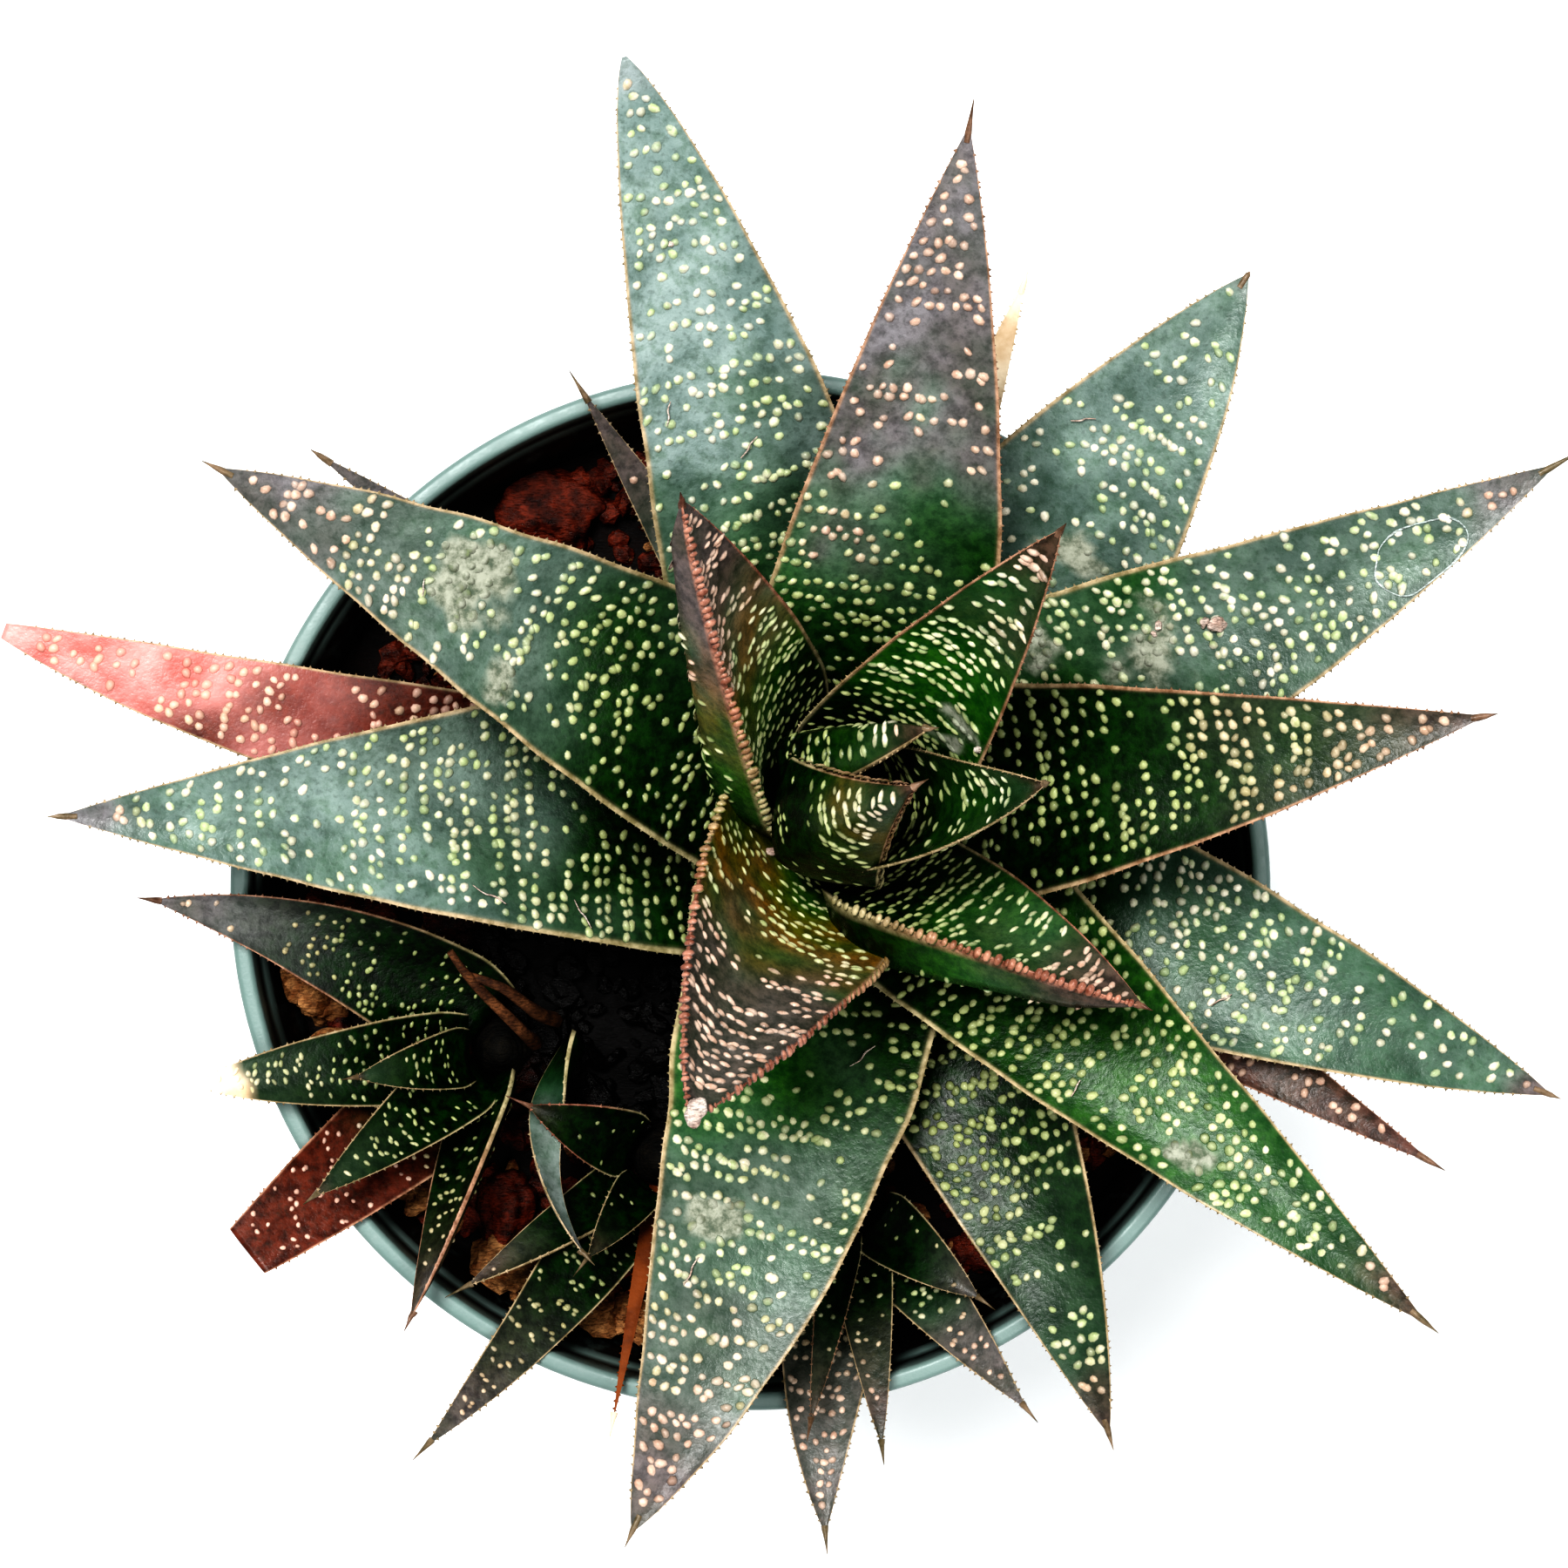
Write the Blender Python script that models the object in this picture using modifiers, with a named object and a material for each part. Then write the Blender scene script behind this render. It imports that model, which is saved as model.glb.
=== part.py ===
"""Potted gasteria: a rosette of succulent leaves and three pups in a round nursery pot.

Lengths are in millimetres until build_mesh turns them into metres. +Z is up and the origin
is the centre of the pot's flat underside.
"""

import math

import bmesh
import bpy
import numpy as np
from mathutils import noise, Vector

MM = 0.001

# ---- pot ----
POT_RIM_DIAMETER = 102.0
POT_HEIGHT = 90.0
POT_BASE_DIAMETER = 72.0
POT_WALL = 1.4
POT_FLOOR = 1.8
RIM_BAND_HEIGHT = 8.0
RIM_STEP = 1.6
RIM_THICKNESS = 1.8
RIM_ROUND = 0.6
DRAIN_HOLE_DIAMETER = 8.0
DRAIN_HOLE_COUNT = 6
DRAIN_CIRCLE_RADIUS = 25.0
POT_SEGMENTS = 48

# ---- growing mix ----
SOIL_BELOW_RIM = 12.0
SOIL_MOUND = 2.0
SOIL_BUMP = 0.5
SOIL_SEGMENTS = 30

# ---- plant ----
CLEARANCE = 0.3
ROSETTE_X = 9.0
ROSETTE_Y = 8.0
STEM_ROOT_DEPTH = 16.0
STEM_RADIUS = 7.0
STEM_HEIGHT = 40.0
PUP_STEM_RADIUS = 3.5
PUP_STEM_HEIGHT = 7.0
LEAF_SPREAD = 1.0
LEAF_WIDTH = 1.0
LEAF_THICKNESS = 1.0
LEAF_LIFT = 1.0
LEAF_RINGS = 8
MARGIN_THICKNESS = 0.5

SOIL_TOP = POT_HEIGHT - SOIL_BELOW_RIM

PLANTS = {
    "main": (ROSETTE_X, ROSETTE_Y),
    "pup_left": (-25.0, -16.0),
    "pup_centre": (-9.0, -27.0),
    "pup_front": (10.0, -31.0),
}


class Leaf:
    """One leaf: where it leaves its stem, where its tip is, and how it is shaped.

    root is (azimuth, height above the soil) and tip is (azimuth, reach, height above the rim),
    in degrees and millimetres about the plant's own stem. facing is the way the upper face is
    turned. cut is the share of the natural length that is left where the end has broken off.
    """

    def __init__(self, name, plant, root, tip, width, thick, **more):
        self.name = name
        self.plant = plant
        self.root = root
        self.tip = tip
        self.width = width
        self.thick = thick
        self.arch = more.get("arch", 8.0)
        self.bow = more.get("bow", 0.0)
        self.root_radius = more.get("root_radius", 3.0)
        self.taper = more.get("taper", 1.4)
        self.blunt = more.get("blunt", 0.9)
        self.roll = more.get("roll", 0.0)
        self.channel = more.get("channel", 0.12)
        self.keel = more.get("keel", 0.1)
        self.turns = more.get("turns", True)
        self.cut = more.get("cut", 1.0)
        self.facing = more.get("facing", root[0])


# Oldest first: each leaf gives way to every leaf that comes after it.
LEAVES = [
    # pup at the left
    Leaf("pup_left_leaf_1", "pup_left", (130, 4), (155, 36, 5), 12, 4.5, arch=2, bow=-4, taper=1.3),
    Leaf("pup_left_leaf_2", "pup_left", (220, 4), (218.5, 30.3, 4), 12, 4, arch=2, cut=0.72),
    Leaf("pup_left_leaf_3", "pup_left", (186, 6), (185, 28, 6), 9, 4, arch=3, taper=1.6, blunt=0.7),
    Leaf("pup_left_leaf_4", "pup_left", (252, 6), (253, 26, 6), 8, 3.5, arch=3, roll=-50),
    Leaf("pup_left_leaf_5", "pup_left", (218, 8), (218, 21, 8), 8, 4, arch=3, channel=0.3),
    Leaf("pup_left_leaf_6", "pup_left", (188, 9), (188, 13, 6), 6, 3, arch=3, channel=0.3),
    Leaf("pup_left_leaf_7", "pup_left", (10, 5), (295, 21.2, 3), 4, 2, arch=2, bow=-6, roll=60,
         root_radius=7),
    # pup under the front leaf
    Leaf("pup_centre_leaf_1", "pup_centre", (229, 3), (230, 34.5, 5), 9, 4.5, arch=2, bow=1.5, taper=1.3),
    Leaf("pup_centre_leaf_2", "pup_centre", (214, 5), (212, 22, 0), 6, 3.5, arch=2, roll=-30),
    Leaf("pup_centre_leaf_3", "pup_centre", (155, 5), (155, 14, 0), 7, 3.5, arch=3, channel=0.25),
    Leaf("pup_centre_leaf_4", "pup_centre", (234, 7), (232, 11, 2), 5, 3, arch=2, channel=0.25),
    Leaf("pup_centre_leaf_5", "pup_centre", (262, 3), (260, 24.5, 3), 3, 1.6, arch=2, channel=0),
    # pup at the front
    Leaf("pup_front_leaf_1", "pup_front", (265, 4), (265, 31, 5), 11, 4.5, arch=3, bow=-2.5, taper=1.5),
    Leaf("pup_front_leaf_2", "pup_front", (311, 4), (311.5, 25, 5), 8, 4, arch=2),
    Leaf("pup_front_leaf_3", "pup_front", (284, 6), (277, 22.5, 5), 6, 3.5, arch=2),
    Leaf("pup_front_leaf_4", "pup_front", (325, 7), (325, 15, 2), 7, 3.5, arch=2, channel=0.25),
    Leaf("pup_front_leaf_5", "pup_front", (255, 8), (258, 20, 8), 4, 2.5, arch=3, channel=0.25),
    # main rosette, thin old leaves
    Leaf("leaf_01", "main", (122, 3), (122, 47.5, 4), 8, 4, arch=3),
    Leaf("leaf_02", "main", (146, 4), (146, 60.5, 8), 9, 4.5, arch=4),
    Leaf("leaf_03", "main", (70, 3), (71, 54, 4), 7, 3, arch=3, taper=2.0),
    # main rosette, outer ring
    Leaf("leaf_04", "main", (168, 3), (168, 83.5, 3), 14, 4, arch=6, bow=5.5, taper=2, blunt=0.8, channel=0,
         cut=0.975),
    Leaf("leaf_05", "main", (330, 3), (329, 66, 6), 13, 5, arch=4, taper=1.3),
    Leaf("leaf_06", "main", (292, 4), (293, 65, 8), 23, 7, bow=3, roll=-12),
    Leaf("leaf_07", "main", (50, 6), (53, 63, 14), 27, 8, bow=-2, taper=1.9),
    Leaf("leaf_08", "main", (335, 6), (338, 72.5, 10), 23, 8, taper=1.6),
    Leaf("leaf_09", "main", (184, 8), (180.5, 73.5, 16), 29, 9, taper=1.25, blunt=0.95),
    Leaf("leaf_10", "main", (262, 10), (253.5, 69.5, 20), 26, 9, bow=5, taper=1.6, blunt=0.85),
    # main rosette, middle ring
    Leaf("leaf_11", "main", (105, 13), (106.5, 71, 28), 24.5, 9, bow=-1, taper=1.3, blunt=0.75),
    Leaf("leaf_12", "main", (22, 14), (26, 71.5, 26), 26, 9, bow=-2, taper=1.3, blunt=0.95),
    Leaf("leaf_13", "main", (318, 15), (318.5, 70, 26), 21, 9, bow=-1, taper=1.3, blunt=0.95),
    Leaf("leaf_14", "main", (82, 18), (80, 61.5, 34), 24, 9, bow=-0.5, blunt=0.95),
    Leaf("leaf_15", "main", (155, 19), (151.5, 63.5, 34), 23, 9, bow=-1.5, taper=1.5),
    Leaf("leaf_16", "main", (5, 21), (8.5, 57, 34), 22, 9, bow=-1, taper=1.3, blunt=1.0),
    # main rosette, inner ring
    Leaf("leaf_17", "main", (225, 24), (242.5, 29.5, 46), 22, 6, arch=4, channel=0.4, roll=5,
         root_radius=6),
    Leaf("leaf_18", "main", (144, 26), (118.5, 30, 48), 17, 5, arch=4, channel=0.2, keel=-0.75, roll=-55,
         facing=110, turns=False, root_radius=6),
    Leaf("leaf_19", "main", (293, 28), (326.5, 31.2, 34), 14, 6, arch=4, bow=1.2, channel=0.15, keel=0.85,
         roll=45, facing=334, turns=False, root_radius=6),
    Leaf("leaf_20", "main", (55, 30), (53.5, 29.5, 50), 16, 7, arch=4, channel=0.35),
    # main rosette, bud
    Leaf("leaf_21", "main", (340, 34), (8.5, 16.6, 48), 12, 4, arch=3, channel=0.6, root_radius=3),
    Leaf("leaf_22", "main", (136, 36), (46, 10, 40), 8, 3, arch=2, channel=0.3, root_radius=6, turns=False),
    Leaf("leaf_23", "main", (215, 37), (22, 6.2, 43), 14, 3, arch=5, channel=0.4, turns=False, keel=0.0,
         root_radius=5, taper=0.85, blunt=1.1),
]

# Each chip: centre from the pot's axis, size, turn, seed for its broken shape, material.
CHIPS = [
    ("chip_01", (-42.0, -4.0), (7, 5, 3.5), 20, 1, "pumice"),
    ("chip_02", (-43.0, -11.5), (5, 4, 3), 70, 2, "pumice"),
    ("chip_03", (-42.5, -22.5), (5, 4, 3), 10, 3, "pumice"),
    ("chip_04", (-34.0, -33.0), (6, 4, 3), 40, 4, "bark"),
    ("chip_05", (-17.5, -44.0), (8, 5, 3.5), 130, 5, "pumice"),
    ("chip_06", (-25.0, -33.0), (9, 5, 3.5), 65, 6, "bark"),
    ("chip_07", (-20.0, 38.0), (10, 6, 4), 150, 7, "bark"),
    ("chip_08", (-31.0, 33.0), (8, 5, 4), 100, 8, "bark"),
    ("chip_09", (42.0, -8.5), (6, 5, 3.5), 35, 9, "bark"),
    ("chip_10", (24.0, 41.0), (8, 5, 4), 60, 10, "bark"),
]


# ---- scene helpers ----
def clear_scene():
    for obj in list(bpy.data.objects):
        bpy.data.objects.remove(obj)


def new_collection(name, hidden):
    collection = bpy.data.collections.new(name)
    bpy.context.scene.collection.children.link(collection)
    collection.hide_render = hidden
    return collection


def new_material(name, colour, roughness):
    material = bpy.data.materials.new(name)
    material.use_nodes = True
    shader = material.node_tree.nodes["Principled BSDF"]
    shader.inputs["Base Color"].default_value = (*colour, 1.0)
    shader.inputs["Roughness"].default_value = roughness
    return material


def build_mesh(name, points, faces, collection, material=None):
    mesh = bpy.data.meshes.new(name)
    mesh.from_pydata([tuple(float(v) * MM for v in p) for p in points], [], faces)
    work = bmesh.new()
    work.from_mesh(mesh)
    bmesh.ops.remove_doubles(work, verts=work.verts, dist=1e-7)
    bmesh.ops.triangulate(work, faces=work.faces)
    bmesh.ops.recalc_face_normals(work, faces=work.faces)
    work.to_mesh(mesh)
    work.free()
    obj = bpy.data.objects.new(name, mesh)
    collection.objects.link(obj)
    if material:
        mesh.materials.append(material)
        mesh.polygons.foreach_set("use_smooth", [True] * len(mesh.polygons))
    else:
        obj.hide_render = True
        obj.display_type = "WIRE"
    return obj


def bounds(obj):
    points = np.array([tuple(v.co) for v in obj.data.vertices])
    return points.min(axis=0), points.max(axis=0)


def near(a, b):
    a_low, a_high = bounds(a)
    b_low, b_high = bounds(b)
    return bool(np.all(a_low < b_high) and np.all(b_low < a_high))


def apply_cut(obj, cutter):
    """One exact Boolean difference, with its mesh left clean for the next."""
    cut = obj.modifiers.new("Cut", "BOOLEAN")
    cut.operation = "DIFFERENCE"
    cut.solver = "EXACT"
    cut.object = cutter
    graph = bpy.context.evaluated_depsgraph_get()
    result = bpy.data.meshes.new_from_object(obj.evaluated_get(graph))
    obj.modifiers.clear()
    work = bmesh.new()
    work.from_mesh(result)
    bmesh.ops.remove_doubles(work, verts=work.verts, dist=2e-6)
    bmesh.ops.dissolve_degenerate(work, edges=work.edges, dist=2e-6)
    bmesh.ops.triangulate(work, faces=work.faces)
    work.to_mesh(result)
    work.free()
    obj.data = result


def carve(obj, cutters, keep):
    """Cuts the cutters away, then keeps the one body that holds the point nearest keep."""
    used = [cutter for cutter in cutters if near(obj, cutter)]
    if not used:
        return
    for cutter in used:
        apply_cut(obj, cutter)
    result = obj.data
    work = bmesh.new()
    work.from_mesh(result)
    target = Vector([v * MM for v in keep])
    seed = min(work.verts, key=lambda vert: (vert.co - target).length)
    body = {seed}
    waiting = [seed]
    while waiting:
        vert = waiting.pop()
        for edge in vert.link_edges:
            other = edge.other_vert(vert)
            if other not in body:
                body.add(other)
                waiting.append(other)
    offcuts = [vert for vert in work.verts if vert not in body]
    bmesh.ops.delete(work, geom=offcuts, context="VERTS")
    work.to_mesh(result)
    work.free()


# ---- leaves ----
def leaf_ends(leaf):
    centre_x, centre_y = PLANTS[leaf.plant]
    root_turn = math.radians(leaf.root[0])
    tip_turn = math.radians(leaf.tip[0])
    reach = leaf.tip[1] * LEAF_SPREAD
    root = np.array([
        centre_x + leaf.root_radius * math.cos(root_turn),
        centre_y + leaf.root_radius * math.sin(root_turn),
        SOIL_TOP + leaf.root[1],
    ])
    tip = np.array([
        centre_x + reach * math.cos(tip_turn),
        centre_y + reach * math.sin(tip_turn),
        POT_HEIGHT + leaf.tip[2] * LEAF_LIFT,
    ])
    return root, tip


def leaf_frames(leaf, along):
    """Points on the midline, with the side and upper directions at each."""
    root, tip = leaf_ends(leaf)
    step = tip - root
    flat = step[:2] / np.hypot(step[0], step[1])
    middle = root + step * 0.5 + np.array([-flat[1] * leaf.bow, flat[0] * leaf.bow, leaf.arch])
    t = along[:, None]
    points = (1 - t) ** 2 * root + 2 * t * (1 - t) * middle + t * t * tip
    heading = (1 - t) * (middle - root) + t * (tip - middle)
    heading /= np.linalg.norm(heading, axis=1)[:, None]
    start = math.radians(leaf.facing)
    turn = 0.0
    if leaf.turns:
        end = math.atan2(tip[1] - middle[1], tip[0] - middle[0])
        turn = (end - start + math.pi) % (2 * math.pi) - math.pi
    facing = start + turn * along
    guess = np.stack([np.sin(facing), -np.cos(facing), 0 * facing], axis=1)
    side = guess - (guess * heading).sum(axis=1)[:, None] * heading
    side /= np.linalg.norm(side, axis=1)[:, None]
    upper = np.cross(side, heading)
    roll = math.radians(leaf.roll)
    rolled_side = side * math.cos(roll) + upper * math.sin(roll)
    rolled_upper = upper * math.cos(roll) - side * math.sin(roll)
    return points, heading, rolled_side, rolled_upper


def leaf_half_widths(leaf, along):
    past = np.clip((along * leaf.cut - 0.12) / 0.88, 0, 1)
    swell = 0.86 + 0.14 * np.sin(np.clip(along / 0.12, 0, 1) * math.pi / 2)
    taper = np.power(np.clip(1 - past**leaf.taper, 0, 1), leaf.blunt)
    return leaf.width * LEAF_WIDTH / 2 * swell * taper


def leaf_depths(leaf, along):
    return leaf.thick * LEAF_THICKNESS * (0.25 + 0.75 * np.power(1 - along, 0.8))


def leaf_section(leaf, half, depth, grow):
    """The closed outline of one cross-section: (side, up) pairs, upper face first."""
    edge = min(0.16 * depth + 0.3, MARGIN_THICKNESS)
    outline = []
    for share in (-1, -0.5, 0, 0.5, 1):
        outline.append((share * half, leaf.channel * half * share * share + grow))
    rise = leaf.channel * half
    outline.append((half, rise - edge - grow))
    outline.append(((0.55 + leaf.keel * 0.5) * half, rise * 0.3 - 0.62 * depth))
    outline.append((leaf.keel * half, -depth))
    outline.append(((-0.55 + leaf.keel * 0.5) * half, rise * 0.3 - 0.62 * depth))
    outline.append((-half, rise - edge - grow))
    return outline


def leaf_solid(leaf, grow=0.0):
    """Points and faces of the leaf, or of the room it needs when grow is its clearance."""
    along = np.linspace(0, 1, LEAF_RINGS) ** 0.9 * 0.985
    points, heading, side, upper = leaf_frames(leaf, along)
    half = leaf_half_widths(leaf, along) + grow
    depth = np.minimum(leaf_depths(leaf, along), half * 1.1) + grow
    verts = []
    for i in range(LEAF_RINGS):
        for across, up in leaf_section(leaf, half[i], depth[i], grow):
            verts.append(points[i] + side[i] * across + upper[i] * up)
    size = 10
    tip = leaf_ends(leaf)[1]
    verts.append(tip + heading[-1] * grow)
    last = len(verts) - 1
    faces = []
    for i in range(LEAF_RINGS - 1):
        for j in range(size):
            a = i * size + j
            b = i * size + (j + 1) % size
            faces.append((a, b, b + size, a + size))
    faces.append(tuple(range(size)))
    start = (LEAF_RINGS - 1) * size
    for j in range(size):
        faces.append((start + j, start + (j + 1) % size, last))
    return verts, faces


# ---- turned pieces ----
def turned(name, profile, segments, collection, material=None, centre=(0.0, 0.0)):
    """A closed solid turned from (radius, height) points, the first and last of them on the axis."""
    corners = [(radius * MM, 0.0, height * MM) for radius, height in profile]
    edges = [(k, k + 1) for k in range(len(corners) - 1)]
    mesh = bpy.data.meshes.new(name + "_section")
    mesh.from_pydata(corners, edges, [])
    section = bpy.data.objects.new(name + "_section", mesh)
    collection.objects.link(section)
    screw = section.modifiers.new("Turn", "SCREW")
    screw.steps = segments
    screw.render_steps = segments
    screw.use_merge_vertices = True
    screw.merge_threshold = 0.0001
    graph = bpy.context.evaluated_depsgraph_get()
    result = bpy.data.meshes.new_from_object(section.evaluated_get(graph))
    bpy.data.objects.remove(section)
    verts = []
    for vert in result.vertices:
        x, y, z = vert.co / MM
        verts.append((x + centre[0], y + centre[1], z))
    faces = [tuple(face.vertices) for face in result.polygons]
    return build_mesh(name, verts, faces, collection, material)


def rounded_corner(radius, height, size, start, sweep, steps=2):
    """Points round a corner whose arc centre is (radius, height), angles in degrees."""
    points = []
    for k in range(steps + 1):
        angle = math.radians(start + sweep * k / steps)
        points.append((radius + size * math.cos(angle), height + size * math.sin(angle)))
    return points


def wall_radius(height):
    """Outer radius of the tapered wall below the rim band."""
    top = POT_RIM_DIAMETER / 2 - RIM_STEP
    base = POT_BASE_DIAMETER / 2
    return base + (top - base) * height / (POT_HEIGHT - RIM_BAND_HEIGHT)


def pot_profile(grow=0.0):
    """Closed section of the pot, from the axis below to the axis inside."""
    rim = POT_RIM_DIAMETER / 2 + grow
    band = POT_HEIGHT - RIM_BAND_HEIGHT - grow
    inside = rim - RIM_THICKNESS - 2 * grow
    lip = RIM_ROUND + grow
    top = POT_HEIGHT + grow
    shelf = POT_HEIGHT - RIM_BAND_HEIGHT
    points = [(0, -grow), (wall_radius(0) - 1.2 + grow, -grow)]
    points.append((wall_radius(1.2) + grow, 1.2))
    points.append((wall_radius(shelf - 1.0) + grow, shelf - 1.0))
    points.append((rim - 0.5, band))
    points.append((rim, band + 0.5))
    points += rounded_corner(rim - lip, top - lip, lip, 0, 90)
    points += rounded_corner(inside + lip, top - lip, lip, 90, 90)
    points.append((inside, shelf + 1.2))
    points.append((wall_radius(shelf) - POT_WALL - grow, shelf - 0.8))
    points.append((wall_radius(POT_FLOOR + 2) - POT_WALL - grow, POT_FLOOR + 2 + grow))
    points.append((wall_radius(POT_FLOOR) - POT_WALL - 2 - grow, POT_FLOOR + grow))
    points.append((0, POT_FLOOR + grow))
    return points


def soil_height(x, y):
    """Top of the growing mix: a low mound with gentle unevenness."""
    away = min(math.hypot(x, y) / (POT_RIM_DIAMETER / 2), 1.0)
    bumps = math.sin(0.21 * x + 1.3) * math.cos(0.17 * y - 0.6) + math.sin(0.33 * y + 0.4)
    return SOIL_TOP + SOIL_MOUND * (1 - away * away) - SOIL_MOUND / 2 + SOIL_BUMP * bumps


def soil_solid(collection, material):
    """The mix fills the pot to its wall, less the clearance."""
    shelf = POT_HEIGHT - RIM_BAND_HEIGHT
    edge = wall_radius(SOIL_TOP) - POT_WALL - CLEARANCE
    low = POT_FLOOR + CLEARANCE
    verts = [(0.0, 0.0, low)]
    rings = [[0]]
    profile = [
        (wall_radius(POT_FLOOR) - POT_WALL - 2 - 2 * CLEARANCE, low),
        (wall_radius(POT_FLOOR + 2) - POT_WALL - 2 * CLEARANCE, low + 2.2),
        (wall_radius(shelf * 0.5) - POT_WALL - CLEARANCE, shelf * 0.5),
    ]
    tops = [1.0, 0.88, 0.72, 0.52, 0.28]
    for radius, height in profile:
        ring = []
        for k in range(SOIL_SEGMENTS):
            angle = 2 * math.pi * k / SOIL_SEGMENTS
            ring.append(len(verts))
            verts.append((radius * math.cos(angle), radius * math.sin(angle), height))
        rings.append(ring)
    for share in tops:
        ring = []
        for k in range(SOIL_SEGMENTS):
            angle = 2 * math.pi * k / SOIL_SEGMENTS
            x = edge * share * math.cos(angle)
            y = edge * share * math.sin(angle)
            height = soil_height(x, y)
            if share == 1.0:
                squeeze = (wall_radius(height) - POT_WALL - CLEARANCE - 0.1) / edge
                x *= squeeze
                y *= squeeze
            ring.append(len(verts))
            verts.append((x, y, height))
        rings.append(ring)
    rings.append([len(verts)])
    verts.append((0.0, 0.0, soil_height(0, 0)))
    faces = []
    for lower, upper in zip(rings, rings[1:]):
        for k in range(SOIL_SEGMENTS):
            n = (k + 1) % SOIL_SEGMENTS
            if len(lower) == 1:
                faces.append((lower[0], upper[k], upper[n]))
            elif len(upper) == 1:
                faces.append((lower[k], upper[0], lower[n]))
            else:
                faces.append((lower[k], upper[k], upper[n], lower[n]))
    return build_mesh("soil", verts, faces, collection, material)


def stem_profile(radius, height, grow=0.0):
    """Buried foot, straight neck and a crown that narrows to the bud."""
    low = SOIL_TOP - STEM_ROOT_DEPTH * radius / STEM_RADIUS - grow
    span = SOIL_TOP + height - low
    shares = [(0.55, 0.0), (0.9, 0.06), (1.0, 0.2), (0.95, 0.5), (0.75, 0.75), (0.45, 0.92)]
    points = [(0, low)]
    for across, up in shares:
        points.append((radius * across + grow, low + span * up))
    points.append((0, low + span + grow))
    return points


def tapered_rod(path, radii, sides, grow=0.0):
    """A bent rod through the points of path, closed at both ends."""
    verts = []
    count = len(path)
    for i in range(count):
        before = np.array(path[max(i - 1, 0)])
        after = np.array(path[min(i + 1, count - 1)])
        heading = after - before
        heading = heading / np.linalg.norm(heading)
        side = np.cross(heading, [0.0, 0.3, 0.95])
        side = side / np.linalg.norm(side)
        other = np.cross(heading, side)
        push = 0.0
        if i == 0:
            push = -grow
        if i == count - 1:
            push = grow
        for k in range(sides):
            angle = 2 * math.pi * k / sides
            ring = (side * math.cos(angle) + other * math.sin(angle)) * (radii[i] + grow)
            verts.append(np.array(path[i]) + ring + heading * push)
    faces = [tuple(range(sides)), tuple(range((count - 1) * sides, count * sides))]
    for i in range(count - 1):
        for k in range(sides):
            a = i * sides + k
            b = i * sides + (k + 1) % sides
            faces.append((a, b, b + sides, a + sides))
    return verts, faces


def chip_solid(size, turn, seed, centre, grow=0.0):
    """A broken chip: a low-resolution ball pushed about, flattened and turned."""
    work = bmesh.new()
    bmesh.ops.create_icosphere(work, subdivisions=1, radius=0.5)
    angle = math.radians(turn)
    verts = []
    for vert in work.verts:
        point = vert.co.copy()
        push = 1.0 + 0.45 * noise.noise(point * 2.0 + Vector((seed * 3.7, 0, 0)))
        x = point.x * push * size[0] + grow * math.copysign(1, point.x)
        y = point.y * push * size[1] + grow * math.copysign(1, point.y)
        z = point.z * push * size[2] + grow * math.copysign(1, point.z)
        verts.append((
            centre[0] + x * math.cos(angle) - y * math.sin(angle),
            centre[1] + x * math.sin(angle) + y * math.cos(angle),
            centre[2] + z,
        ))
    faces = [tuple(vert.index for vert in face.verts) for face in work.faces]
    work.free()
    return verts, faces


def cut_drain_holes(pot, cutters):
    for k in range(DRAIN_HOLE_COUNT):
        angle = 2 * math.pi * k / DRAIN_HOLE_COUNT
        centre = (DRAIN_CIRCLE_RADIUS * math.cos(angle), DRAIN_CIRCLE_RADIUS * math.sin(angle))
        profile = [(0, -2), (DRAIN_HOLE_DIAMETER / 2, -2), (DRAIN_HOLE_DIAMETER / 2, 6), (0, 6)]
        cutter = turned(f"cutter_drain_{k + 1}", profile, 24, cutters, centre=centre)
        cut = pot.modifiers.new(f"Drain_{k + 1}", "BOOLEAN")
        cut.operation = "DIFFERENCE"
        cut.solver = "EXACT"
        cut.object = cutter


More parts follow.
